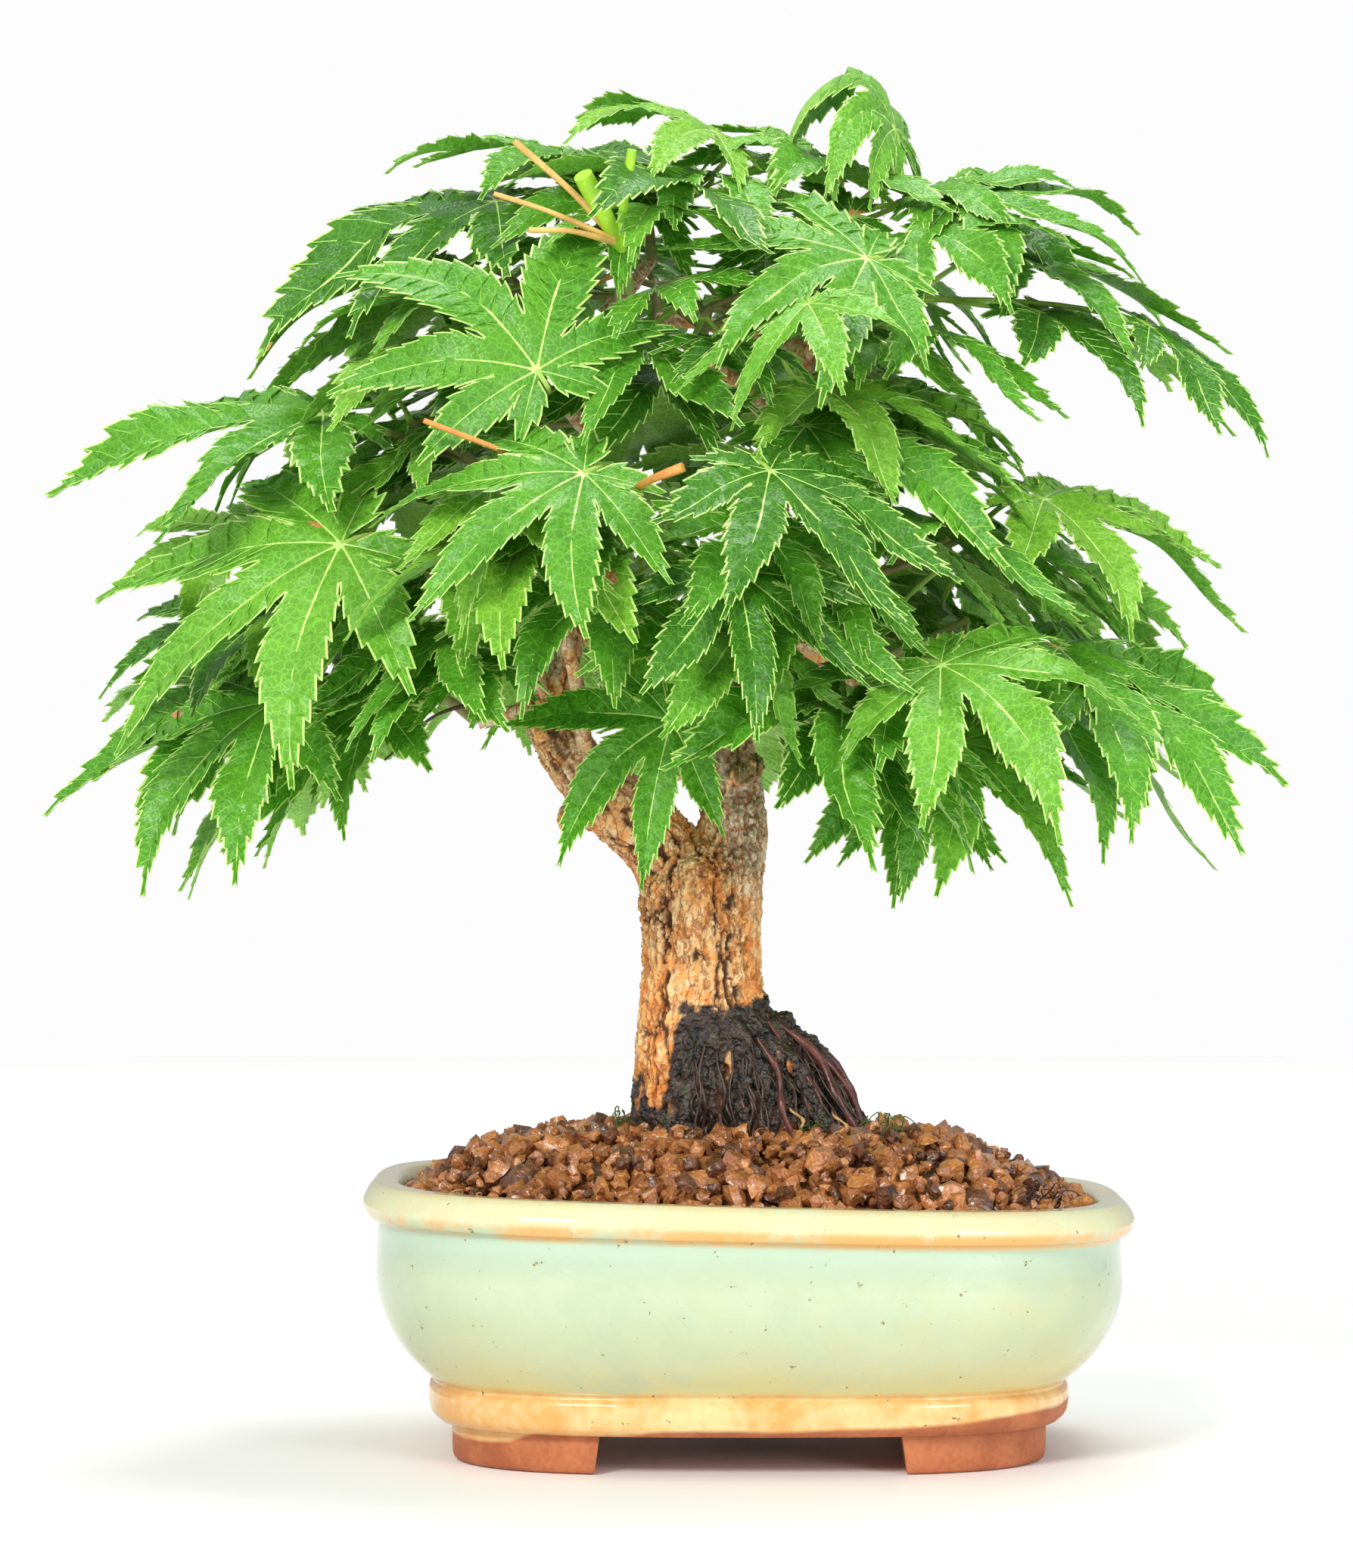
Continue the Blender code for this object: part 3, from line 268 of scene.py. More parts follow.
LIMB_SIDES = {"bough_left": 12, "bough_right": 12, "riser_left": 8, "riser_right": 8}
KNOB = ((-0.0345, -0.0045, 0.1232), 0.003)  # a healed cut under the left bough


def trunk_ring(height, radius, flare, sides=TRUNK_SIDES):
    """A ring of the trunk: its radius plus the flare, which runs out to the right as a power of the cosine, both
    fluted by a wave of three and a wave of five round the trunk."""
    turn = np.linspace(0, 2 * math.pi, sides, endpoint=False)
    reach = radius + flare * np.clip(np.cos(turn), 0, 1) ** FLARE_POWER
    reach = reach * (1 + 0.035 * np.cos(3 * turn + 0.8) + 0.02 * np.cos(5 * turn + 70 * height))
    return np.stack([TRUNK_X + reach * np.cos(turn), TRUNK_DEPTH * reach * np.sin(turn), np.full(sides, height)],
                    axis=1)


def limb_line(points, start, end, count):
    """The limb's middle line and its radius at each point of it."""
    line = curve_through(points, count)
    return line, np.linspace(start, end, count)


def root_points(way, height):
    """A surface root's line: out of the trunk's side and down to the soil, just proud of the flare."""
    turn = math.radians(way)
    heights, radii, flares = zip(*TRUNK)
    line = []
    for share in (0.0, 0.35, 0.7, 1.0, 1.1):
        z = height + (TRUNK[0][0] - height) * share
        reach = np.interp(z, heights, radii) + np.interp(z, heights, flares) * max(math.cos(turn), 0) ** FLARE_POWER
        reach = reach - ROOT_SINK
        line.append((TRUNK_X + reach * math.cos(turn), TRUNK_DEPTH * reach * math.sin(turn), z))
    return line


# ---------- one coarse leaf, as the solids have it

# each lobe: (way from the middle lobe in degrees, length against the middle lobe)
LOBES = ((-132, 0.32), (-86, 0.66), (-43, 0.92), (0, 1.0), (43, 0.92), (86, 0.66), (132, 0.32))
LOBE_WIDE = 0.145  # half a lobe's width at its widest, against the leaf's length
WIDEST_AT = 0.56
SINUS = 0.35  # how far out the lobes part
BASE_REACH = 0.05  # where the stalk meets the blade, behind the hub
FOLD = 0.3  # each lobe's halves rise from its rib by this slope
LEAF_THICK = 0.016  # at the rib, against the leaf's length
STALK_RADIUS = 0.00062
SAG = 0.75  # how far a leaf's rays turn towards the ground on the way to their tips


def blade_frame(heading, pitch, roll):
    """Rows: the way of the middle lobe, the way across, and the blade's upper face."""
    h, p, r = (math.radians(a) for a in (heading, pitch, roll))
    along = np.array([math.cos(p) * math.cos(h), math.cos(p) * math.sin(h), math.sin(p)])
    across = np.array([-math.sin(h), math.cos(h), 0.0])
    upper = np.cross(along, across)
    turned = across * math.cos(r) + upper * math.sin(r)
    return np.array([along, turned, np.cross(along, turned)])


def bend(leaf, reach, turn, lift):
    """Where points of the flat leaf go. A point lies at a reach and turn from the hub; its ray leaves in the
    blade's plane and turns towards the ground as it goes, and lift raises it square to that ray."""
    hub, heading, pitch, roll, size, sag = leaf
    frame = blade_frame(heading, pitch, roll)
    way = np.outer(np.cos(turn), frame[0]) + np.outer(np.sin(turn), frame[1])
    down = np.array([0.0, 0.0, -sag / size])
    steps = 5
    place = sum(unit(way + np.outer(reach * (k + 0.5) / steps, down)) for k in range(steps))
    last = unit(way + np.outer(reach, down))
    normal = unit(frame[2] - last * (last @ frame[2])[:, None])
    return np.asarray(hub) + place * (reach / steps)[:, None] + normal * lift[:, None]


def leaf_layout():
    """The flat leaf, shared by all: (reach, turn, rise) of the outline's points and of the ribs' against the
    leaf's length, and the faces of its upper side. The hub is the last point."""
    outline, ribs, top = [], [], []
    for k, (way, length) in enumerate(LOBES):
        turn = math.radians(way)
        if length > 0.5:
            along, out = WIDEST_AT * length, LOBE_WIDE * (0.35 + 0.65 * length)
            swing, far = math.atan2(out, along), math.hypot(along, out)
            ribs.append((len(outline), (0.5 * length, turn, 0.0) if length > 0.8 else None))
            outline += [(far, turn - swing, out), (length, turn, 0.0), (far, turn + swing, out)]
        else:
            ribs.append((len(outline), None))
            outline.append((length, turn, 0.0))
        if k < len(LOBES) - 1:
            after, near = LOBES[k + 1]
            deep = SINUS * min(length, near)
            middle = math.radians((way + after) / 2)
            outline.append((deep, middle, deep * math.sin(math.radians(after - way) / 2)))
    outline += [(BASE_REACH, math.radians(way), 0.0) for way in (167, 193)]
    middles = [rib for _, rib in ribs if rib]
    count, seen = len(outline), 0
    hub = count + len(middles)
    for (first, rib), (_, length) in zip(ribs, LOBES):
        before, right, tip, left = (first - 1) % count, first, first + 1, first + 2
        if rib:
            mid, seen = count + seen, seen + 1
            top += [(hub, before, right), (hub, right, mid), (right, tip, mid), (mid, tip, left), (hub, mid, left),
                    (hub, left, first + 3)]
        elif length > 0.5:
            top += [(hub, before, right), (hub, right, tip), (hub, tip, left), (hub, left, first + 3)]
        else:
            top += [(hub, before, first), (hub, first, first + 1)]
    top.append((hub, count - 2, count - 1))
    return outline, middles, top


OUTLINE, MIDDLES, LEAF_TOP = leaf_layout()
FLAT_LEAF = np.array(OUTLINE + MIDDLES + [(0.0, 0.0, 0.0)])


def leaf_solid(leaf, thick=1.0):
    """One leaf's points, upper and lower, and its faces: the upper side bent up by half the blade's thickness, the
    lower one bent down by it. The lower side also goes under the three points where the stalk comes in, which is
    left open."""
    size = leaf[4]
    reach, turn, rise = FLAT_LEAF[:, 0] * size, FLAT_LEAF[:, 1], FLAT_LEAF[:, 2] * size * FOLD
    half = 0.5 * LEAF_THICK * size * thick
    edge, total = len(OUTLINE), len(FLAT_LEAF)
    inner = np.arange(total) >= edge
    upper = bend(leaf, reach, turn, rise + half * inner)
    lower = bend(leaf, reach[edge:], turn[edge:], rise[edge:] - half)
    left, right, under = edge - 2, edge - 1, total + total - edge
    keel = (upper[left] + upper[right]) / 2 - blade_frame(*leaf[1:4])[2] * STALK_RADIUS * 1.6
    shift = total - edge
    bottom = [tuple(i + shift if i >= edge else i for i in reversed(face)) for face in LEAF_TOP[:-1]]
    hub = total - 1 + shift
    bottom += [(hub, under, left), (hub, right, under)]
    return np.vstack([upper, lower, keel]), LEAF_TOP + bottom


def stalk_line(start, leaf, count=3):
    """A leaf stalk's middle line: from its twig, bowing under, and into the blade along its middle lobe."""
    frame = blade_frame(*leaf[1:4])
    end = np.array(leaf[0]) - frame[0] * BASE_REACH * leaf[4]
    reach = np.linalg.norm(end - start)
    bow = end - frame[0] * reach * 0.36 - frame[2] * reach * 0.06
    t = np.linspace(0, 1, count)[:, None]
    return (1 - t) ** 2 * start + 2 * t * (1 - t) * bow + t**2 * end


def leaf_tips(leaf):
    """The ends of the lobes, in place."""
    lobes = np.array(LOBES)
    return bend(leaf, lobes[:, 1] * leaf[4], np.radians(lobes[:, 0]), np.zeros(len(lobes)))


def leaf_to(hub, tip, roll, sag=SAG):
    """The leaf whose hub and whose middle lobe's tip are given: its heading, pitch and length follow."""
    hub, tip = np.array(hub), np.array(tip)
    size, aim = np.linalg.norm(tip - hub) * 1.03, tip + (0, 0, 0.5 * sag * np.linalg.norm(tip - hub))
    for _ in range(6):
        run = aim - hub
        heading = math.degrees(math.atan2(run[1], run[0]))
        pitch = math.degrees(math.asin(run[2] / np.linalg.norm(run)))
        leaf = (tuple(hub), heading, pitch, roll, size, sag)
        end = bend(leaf, np.array([size]), np.array([0.0]), np.array([0.0]))[0]
        size *= np.linalg.norm(tip - hub) / np.linalg.norm(end - hub)
        aim = aim + (tip - end)
    return leaf


# ---------- masses of leaves

# Each mass is one stem with its twigs and leaves, and keeps to a sector of the crown: (parent limb, where on it
# from 0 to 1, way round the crown in degrees, half its width, lowest and highest hub, leaves by rule, seed,
# leading leaves). A leading leaf is (hub, tip of its middle lobe, roll, and its sag if not the usual one).
# Way 0 is right, 90 back, 180 left.
MASSES = {
    "apex_right": ("riser_right", 0.98, 20, 34, 0.236, 0.25, 3, 11, (
        ((0.0286, -0.004, 0.258), (0.0, -0.01, 0.265), -30, 2.6),
        ((0.0406, -0.012, 0.244), (0.074, -0.03, 0.227), 24))),
    "top_centre": ("riser_left", 0.98, 262, 60, 0.238, 0.248, 4, 12, (
        ((-0.0105, -0.026, 0.244), (-0.028, -0.062, 0.236), -20),
        ((-0.005, -0.009, 0.2515), (-0.043, -0.022, 0.248), -32, 0.9))),
    "top_left": ("riser_left", 0.9, 182, 36, 0.226, 0.244, 4, 13, (
        ((-0.049, -0.012, 0.243), (-0.0985, -0.018, 0.219), -18),)),
    "top_back": ("riser_right", 0.9, 95, 60, 0.226, 0.246, 6, 14, ()),
    "right_upper": ("riser_right", 0.8, 350, 28, 0.216, 0.24, 5, 15, (
        ((0.0565, -0.012, 0.2215), (0.104, -0.018, 0.192), 14),
        ((0.0515, 0.0, 0.234), (0.093, -0.004, 0.213), 14))),
    "front_upper": ("riser_right", 0.72, 282, 36, 0.21, 0.24, 5, 16, (
        ((0.023, -0.042, 0.229), (-0.012, -0.062, 0.211), -44),
        ((0.027, -0.02, 0.247), (-0.004, -0.04, 0.239), -40),
        ((0.014, -0.062, 0.218), (0.003, -0.082, 0.192), 4))),
    "left_upper": ("riser_left", 0.72, 222, 28, 0.204, 0.23, 4, 17, (
        ((-0.04, -0.052, 0.207), (-0.0725, -0.04, 0.231), -58),)),
    "left_mid": ("riser_left", 0.55, 184, 22, 0.19, 0.212, 5, 18, (
        ((-0.082, -0.02, 0.201), (-0.136, -0.026, 0.1815), -22),)),
    "front_left": ("riser_left", 0.46, 245, 20, 0.18, 0.202, 3, 19, (
        ((-0.031, -0.066, 0.187), (-0.061, -0.086, 0.159), -34),
        ((-0.048, -0.06, 0.185), (-0.029, -0.082, 0.162), 30))),
    "front_mid": ("riser_right", 0.4, 288, 22, 0.178, 0.204, 4, 20, (
        ((0.003, -0.074, 0.187), (0.023, -0.096, 0.156), 10),)),
    "right_mid": ("riser_right", 0.46, 352, 28, 0.168, 0.19, 6, 21, (
        ((0.057, -0.016, 0.185), (0.096, -0.024, 0.16), 18),)),
    "back_upper": ("riser_left", 0.6, 118, 38, 0.196, 0.226, 6, 22, ()),
    "back_right_upper": ("riser_right", 0.58, 52, 32, 0.194, 0.226, 5, 42, ()),
    "left_low": ("bough_left", 0.76, 204, 20, 0.164, 0.186, 3, 24, (
        ((-0.077, -0.044, 0.175), (-0.12, -0.056, 0.1375), -40),
        ((-0.096, -0.004, 0.179), (-0.127, -0.008, 0.165), -34))),
    "left_bottom": ("bough_left", 0.93, 186, 26, 0.144, 0.164, 4, 25, (
        ((-0.093, -0.012, 0.149), (-0.137, -0.016, 0.126), -30),
        ((-0.09, -0.032, 0.145), (-0.121, -0.044, 0.113), -26),
        ((-0.072, -0.02, 0.146), (-0.099, -0.03, 0.116), -20))),
    "front_low": ("bough_right", 0.9, 274, 18, 0.16, 0.178, 2, 26, (
        ((-0.003, -0.066, 0.169), (0.002, -0.084, 0.138), 4),)),
    "trunk_shoot": ("bough_right", 0.56, 264, 14, 0.14, 0.146, 0, 27, (
        ((-0.015, -0.036, 0.142), (-0.04, -0.046, 0.118), -66),)),
    "front_right": ("bough_right", 0.97, 312, 22, 0.144, 0.172, 4, 28, (
        ((0.035, -0.056, 0.152), (0.06, -0.084, 0.126), 26),
        ((0.04, -0.024, 0.138), (0.062, -0.044, 0.108), 22),
        ((0.031, -0.01, 0.138), (0.029, -0.02, 0.106), 0))),
    "right_low": ("riser_right", 0.22, 350, 26, 0.15, 0.174, 5, 29, (
        ((0.059, -0.026, 0.156), (0.104, -0.038, 0.1205), 16),
        ((0.057, -0.01, 0.149), (0.09, -0.018, 0.113), 16))),
    "back_right_low": ("bough_right", 0.8, 40, 26, 0.146, 0.182, 6, 34, ()),
    "back_low": ("bough_right", 0.66, 92, 26, 0.146, 0.182, 6, 31, ()),
    "back_left_low": ("bough_left", 0.72, 140, 26, 0.146, 0.19, 6, 32, ()),
    "front_left_low": ("bough_left", 0.6, 236, 24, 0.16, 0.186, 4, 39, ()),
}
STEM_BASE, STEM_TIP = 0.46, 0.66  # how far out to the dome a mass's stem starts and ends
SHOOT_BASE, SHOOT_TIP = 0.2, 0.32  # the same for the lone shoot in front of the trunk
STEM_DROP = (0.012, 0.004)  # how far below its mass's middle height a stem starts and ends
STEM_ARCH = 0.002
BRANCH_RADII = (0.0017, 0.0011)
STEM_RADII = (0.0011, 0.0008)
GOLDEN = 0.6180339887  # the golden section, which spreads the pairs round a mass
GUARD = 2.2  # a leaf is tested for room as if it were this many times as thick
DROOP_Z, DROOP = (0.14, 0.215, 0.25), (-20, -12, 6)  # a leaf's pitch at these heights of its hub
ROLL_SWING = 38  # how far a leaf that swings fully to one side rolls, in degrees

# How leaves are placed by rule: how fast failed tries shrink and loosen one, how far it may turn and rise off its
# place, how far out to the dome its hub lies, how far it swings and tilts, its size, the room kept under it, the
# number of tries, the step at which the golden section starts, and how far out to the dome its twig aims.
Rule = namedtuple("Rule", "shrink loosen turn rise depth swing tilt sizes room tries first aim")
LARGE = Rule(0.0012, 0.006, 12, 0.01, (0.6, 0.95), 42, 8, (0.042, 0.054), 0.0, 220, 1, 0.95)
SMALL = Rule(0.004, 0.01, 16, 0.012, (0.42, 0.9), 50, 12, (0.026, 0.042), 0.004, 45, 3.5, 0.8)
SMALL_PAIRS = 3  # for each mass, on finer twigs


def dome_point(way, height, share):
    """A point at a share of the way from the crown's middle line out to the dome of leaf hubs."""
    rise = min(max((height - CROWN_BASE) / CROWN_RISE, 0.0), 0.985)
    out = share * math.sqrt(1 - rise * rise)
    turn = math.radians(way)
    return np.array([CROWN_X + CROWN_HALF[0] * out * math.cos(turn), CROWN_HALF[1] * out * math.sin(turn), height])


def stem_line(row):
    """The middle line of a mass's stem: a smooth curve outwards towards the dome, through a slightly raised
    middle."""
    way, low, high, count = row[2], row[4], row[5], row[6]
    middle = (low + high) / 2
    near, far = (STEM_BASE, STEM_TIP) if count else (SHOOT_BASE, SHOOT_TIP)
    base, tip = dome_point(way, middle - STEM_DROP[0], near), dome_point(way, middle - STEM_DROP[1], far)
    return curve_through((base, base + (tip - base) * 0.5 + (0, 0, STEM_ARCH), tip), 4)


def limb_at(name, share):
    """A point on a limb's middle line."""
    return curve_through(LIMBS[name][1], 41)[round(share * 40)]


def tree_of(points, faces):
    """A shape made ready for tests of whether it meets another."""
    return BVHTree.FromPolygons([Vector(p) for p in points], faces)


class Space:
    """What already stands in the crown, for the test of whether a new leaf or twig would touch it."""

    def __init__(self):
        self.low, self.high, self.trees, self.owners = [], [], [], []

    def add(self, points, faces, owner):
        """Takes a shape in, under its owner's name."""
        self.low.append(np.min(points, axis=0))
        self.high.append(np.max(points, axis=0))
        self.trees.append(tree_of(points, faces))
        self.owners.append(owner)

    def is_clear(self, points, faces, leave_out=()):
        """Whether a shape meets nothing here, apart from what belongs to the owners left out."""
        low, high = np.min(points, axis=0), np.max(points, axis=0)
        near = np.flatnonzero(((low < np.array(self.high)) & (high > np.array(self.low))).all(1))
        near = [i for i in near if self.owners[i] not in leave_out]
        if not near:
            return True
        mine = tree_of(points, faces)
        return not any(mine.overlap(self.trees[i]) for i in near)


def strayed(rng, leaf, attempt):
    """A leading leaf, moved further from its own place with each failed try."""
    hub, heading, pitch, roll, size, sag = leaf
    swing = attempt * 0.2
    moved = tuple(place + rng.uniform(-1, 1) * 0.00008 * attempt for place in hub)
    turned = [angle + rng.uniform(-swing, swing) for angle in (heading, pitch, roll)]
    return (moved, *turned, size * (1 - 0.0015 * attempt), sag)


def leaf_by_rule(rng, rule, way, height, attempt):
    """A leaf that heads outwards near a place on the dome, drooping more the lower it stands, with its upper
    face turned out, or None if it hangs too low or, being small, into the open gap. With each failed try it is
    smaller and strays further."""
    shrink, loose = 1 - rule.shrink * attempt, 1 + rule.loosen * attempt
    turn = way + rng.uniform(-rule.turn, rule.turn) * loose
    hub = dome_point(turn, height + rng.uniform(-rule.rise, rule.rise) * loose, rng.uniform(*rule.depth))
    swing = rng.uniform(-rule.swing, rule.swing)
    pitch = np.interp(hub[2], DROOP_Z, DROOP) + rng.uniform(-rule.tilt, rule.tilt)
    roll = ROLL_SWING * math.sin(math.radians(swing)) + rng.uniform(-rule.tilt, rule.tilt)
    leaf = (tuple(hub), turn + swing, pitch, roll, rng.uniform(*rule.sizes) * shrink, SAG)
    tips = leaf_tips(leaf)
    low = tips[:, 2] < np.interp(tips[:, 0], FLOOR_X, FLOOR_Z) + rule.room
    return None if low.any() or (rule is SMALL and in_sky(tips).any()) else leaf


def bends_gently(leaf, start, twig_way):
    """Whether the stalk turns off its twig, and into its blade, by less than about 85 degrees each."""
    run = unit(np.array(leaf[0]) - start)
    return run @ blade_frame(*leaf[1:4])[0] > 0.1 and run @ twig_way > 0.1


def stands_free(space, leaf, start, owner):
    """Whether the leaf, a little thickened, and its stalk touch nothing."""
    if not space.is_clear(*leaf_solid(leaf, GUARD)):
        return False
    return space.is_clear(*free_stalk(start, leaf, STALK_RADIUS + GAP), leave_out=(owner,))


def free_stalk(start, leaf, radius):
    """The part of a leaf's stalk that stands free, between its twig and its blade."""
    line = stalk_line(start, leaf, 9)[[1, 4, 7]]
    return loft(tube_rings(line, [radius] * 3, 3))


class Mass:
    """One stem, the twigs on it, and what has been placed on them so far."""

    def __init__(self, space, name, row):
        self.space, self.name, self.row = space, name, row
        self.rng = random.Random(row[7])
        self.line = stem_line(row)
        self.leaves, self.small, self.shoots, self.twigs = [], [], [], 0
        space.add(*loft(tube_rings(self.line, np.linspace(*STEM_RADII, 4), 4)), name)

    def add_pair(self, aim, choices, tries=LARGE.tries, suits=lambda leaf, start, twig_way: True):
        """A twig towards aim, and on it a leaf from each of the choices, each a function of the try's number,
        that suits its stalk's start and its twig."""
        space, name = self.space, self.name
        joint = self.line[3 - self.twigs % 3] + (self.line[0] - self.line[3]) * 0.05
        self.twigs += 1
        fork = joint + (aim - joint) * 0.4
        if not space.is_clear(*loft(tube_rings([joint, fork], [STALK_RADIUS + GAP] * 2, 3)), leave_out=(name,)):
            fork = joint
        twig_way = unit(aim - joint)
        kept = []
        for choose in choices:
            start = fork - (fork - joint) * 0.15 * len(kept)
            for attempt in range(tries):
                leaf = choose(attempt)
                if leaf and suits(leaf, start, twig_way) and stands_free(space, leaf, start, name):
                    kept.append((start, leaf))
                    space.add(*leaf_solid(leaf), name + "_leaf")
                    space.add(*free_stalk(start, leaf, STALK_RADIUS), name + "_leaf")
                    break
        if kept and fork is not joint:
            space.add(*loft(tube_rings([joint, fork], [STALK_RADIUS] * 2, 3)), name)
            self.shoots.append((joint, fork))
        return kept

    def add_leads(self):
        """The mass's leading leaves, on one twig."""
        leads = [leaf_to(*lead) for lead in self.row[8]]
        if leads:
            aim = np.mean([leaf[0] for leaf in leads], axis=0)
            choices = [lambda attempt, leaf=leaf: strayed(self.rng, leaf, attempt) for leaf in leads]
            self.leaves += self.add_pair(aim, choices)

    def by_rule(self, rule, count):
        """That many leaves by a rule, in pairs on twigs of their own, from the top down; each pair turns on from
        the one before by the golden section of the mass's sector."""
        way, half, low, high = self.row[2:6]
        pairs, kept = math.ceil(count / 2), []
        for k in range(pairs):
            turn = way + half * (2 * ((k + rule.first) * GOLDEN % 1.0) - 1)
            height = high - (high - low) * (k + 0.5) / pairs
            choices = [lambda attempt: leaf_by_rule(self.rng, rule, turn, height, attempt)] * min(2, count - 2 * k)
            kept += self.add_pair(dome_point(turn, height, rule.aim), choices, rule.tries, bends_gently)
        return kept


def branch_points(row):
    """The branch from its parent limb to the foot of a mass's stem: its two ends, and a point half way that is
    raised and drawn back, so that it leaves upwards and bows over."""
    start = limb_at(*row[:2])
    stem = stem_line(row)
    run = unit(stem[-1] - stem[0])
    end = stem[0] - unit(stem[1] - stem[0]) * GAP
    reach = np.linalg.norm(end - start)
    return start, start + (end - start) * 0.5 + (0, 0, 0.06 * reach) - run * 0.04 * reach, end


# ---------- the whole tree

SKY_X, SKY_Z = (0.038, 0.072), (0.188, 0.216)  # the gap on the right between the upper and the middle masses
SKY_MASS, SKY_SHRINK = "right_upper", 0.8  # how much smaller a leaf of that mass is if it would hang into the gap

# leaves that close the crown's outline between a mass's own: (hub, tip of the middle lobe, roll)
FILLERS = {
    "apex_right": (
        ((0.012, -0.006, 0.253), (-0.012, -0.02, 0.25), -30),
        ((0.018, 0.004, 0.25), (0.006, -0.034, 0.244), -12),
        ((0.034, -0.008, 0.245), (0.064, -0.012, 0.244), 16)),
    "top_centre": (
        ((-0.018, 0.004, 0.252), (-0.05, 0.006, 0.247), -24),
        ((-0.008, -0.014, 0.248), (-0.02, -0.046, 0.236), -10),
        ((-0.02, -0.02, 0.243), (-0.048, -0.04, 0.232), -34)),
    "right_upper": (
        ((0.032, -0.022, 0.236), (0.052, -0.046, 0.222), 28),
        ((0.044, 0.008, 0.24), (0.076, 0.012, 0.23), 12),
        ((0.078, -0.01, 0.219), (0.1035, -0.012, 0.1955), 14)),
    "right_low": (((0.064, -0.034, 0.15), (0.096, -0.048, 0.12), 18),),
    "front_right": (((0.033, -0.016, 0.134), (0.032, -0.024, 0.1075), 0),),
    "left_low": (((-0.09, -0.02, 0.164), (-0.126, -0.026, 0.148), -26),),
}


def in_sky(places):
    """Which places lie in the gap that stays open, seen from the front."""
    return ((places[:, 0] > SKY_X[0]) & (places[:, 0] < SKY_X[1]) & (places[:, 2] > SKY_Z[0])
            & (places[:, 2] < SKY_Z[1]))


def grow_tree():
    """Every mass with its leading leaves, then its rule leaves, then the small ones on finer twigs."""
    space = Space()
    for name, (_, points, start, end) in LIMBS.items():
        line, radii = limb_line(points, start, end, 9)
        space.add(*loft(tube_rings(line, radii + GAP, LIMB_SIDES[name])), name)
    space.add(*loft([trunk_ring(z, radius + GAP, flare) for z, radius, flare in TRUNK]), "trunk")
    for name, row in MASSES.items():
        line, radii = curve_through(branch_points(row), 4), np.linspace(*BRANCH_RADII, 4)
        space.add(*loft(tube_rings(line[1:], radii[1:] + GAP, 4)), "branch_" + name)
    masses = [Mass(space, name, row) for name, row in MASSES.items()]
    for mass in masses:
        mass.add_leads()
    for mass in masses:
        mass.leaves += mass.by_rule(LARGE, mass.row[6])
    for mass in masses:
        mass.small += mass.by_rule(SMALL, 2 * SMALL_PAIRS)
        mass.leaves += [(mass.line[-1], leaf_to(*lead)) for lead in FILLERS.get(mass.name, ())]
    return masses


# ---------- one fine leaf

WEB_ROWS = 4  # rows of places from the hub to the parting of two lobes
FINE_SINUS = 0.29  # the fine leaf's lobes part further in than the coarse one's, and are slimmer
FINE_WIDE = 0.138
QUILT = (0.002, 0.006, 0.003, -0.006)  # how the blade swells between two side veins, on the rows of one tooth
HALF_THICK = 0.003  # half a blade's thickness at its ribs, against its length
# the margin between the parting of two lobes and a lobe's tip: (share of the way, width against the widest)
MARGIN = ((0.0, None), (0.1, 0.84), (0.22, 0.94), (0.38, 1.0), (0.56, 0.85), (0.74, 0.53), (0.89, 0.21),
          (1.0, 0.0))
# one tooth of the margin: (share of the tooth, how far it stands out, how far it leans forward)
TOOTH = ((0.0, 0.0, 0.0), (0.34, 0.5, 0.22), (0.46, 0.26, 0.06), (0.84, 1.0, 0.5))
FINE_TOOTH = ((0.0, 0.0, 0.0), (0.42, 0.5, 0.2), (0.84, 1.0, 0.42))
PLAIN_TOOTH = ((0.0, 0.0, 0.0), (0.8, 1.0, 0.42))
MARGIN_WIDE = 0.0085  # the pale margin, against the leaf's length


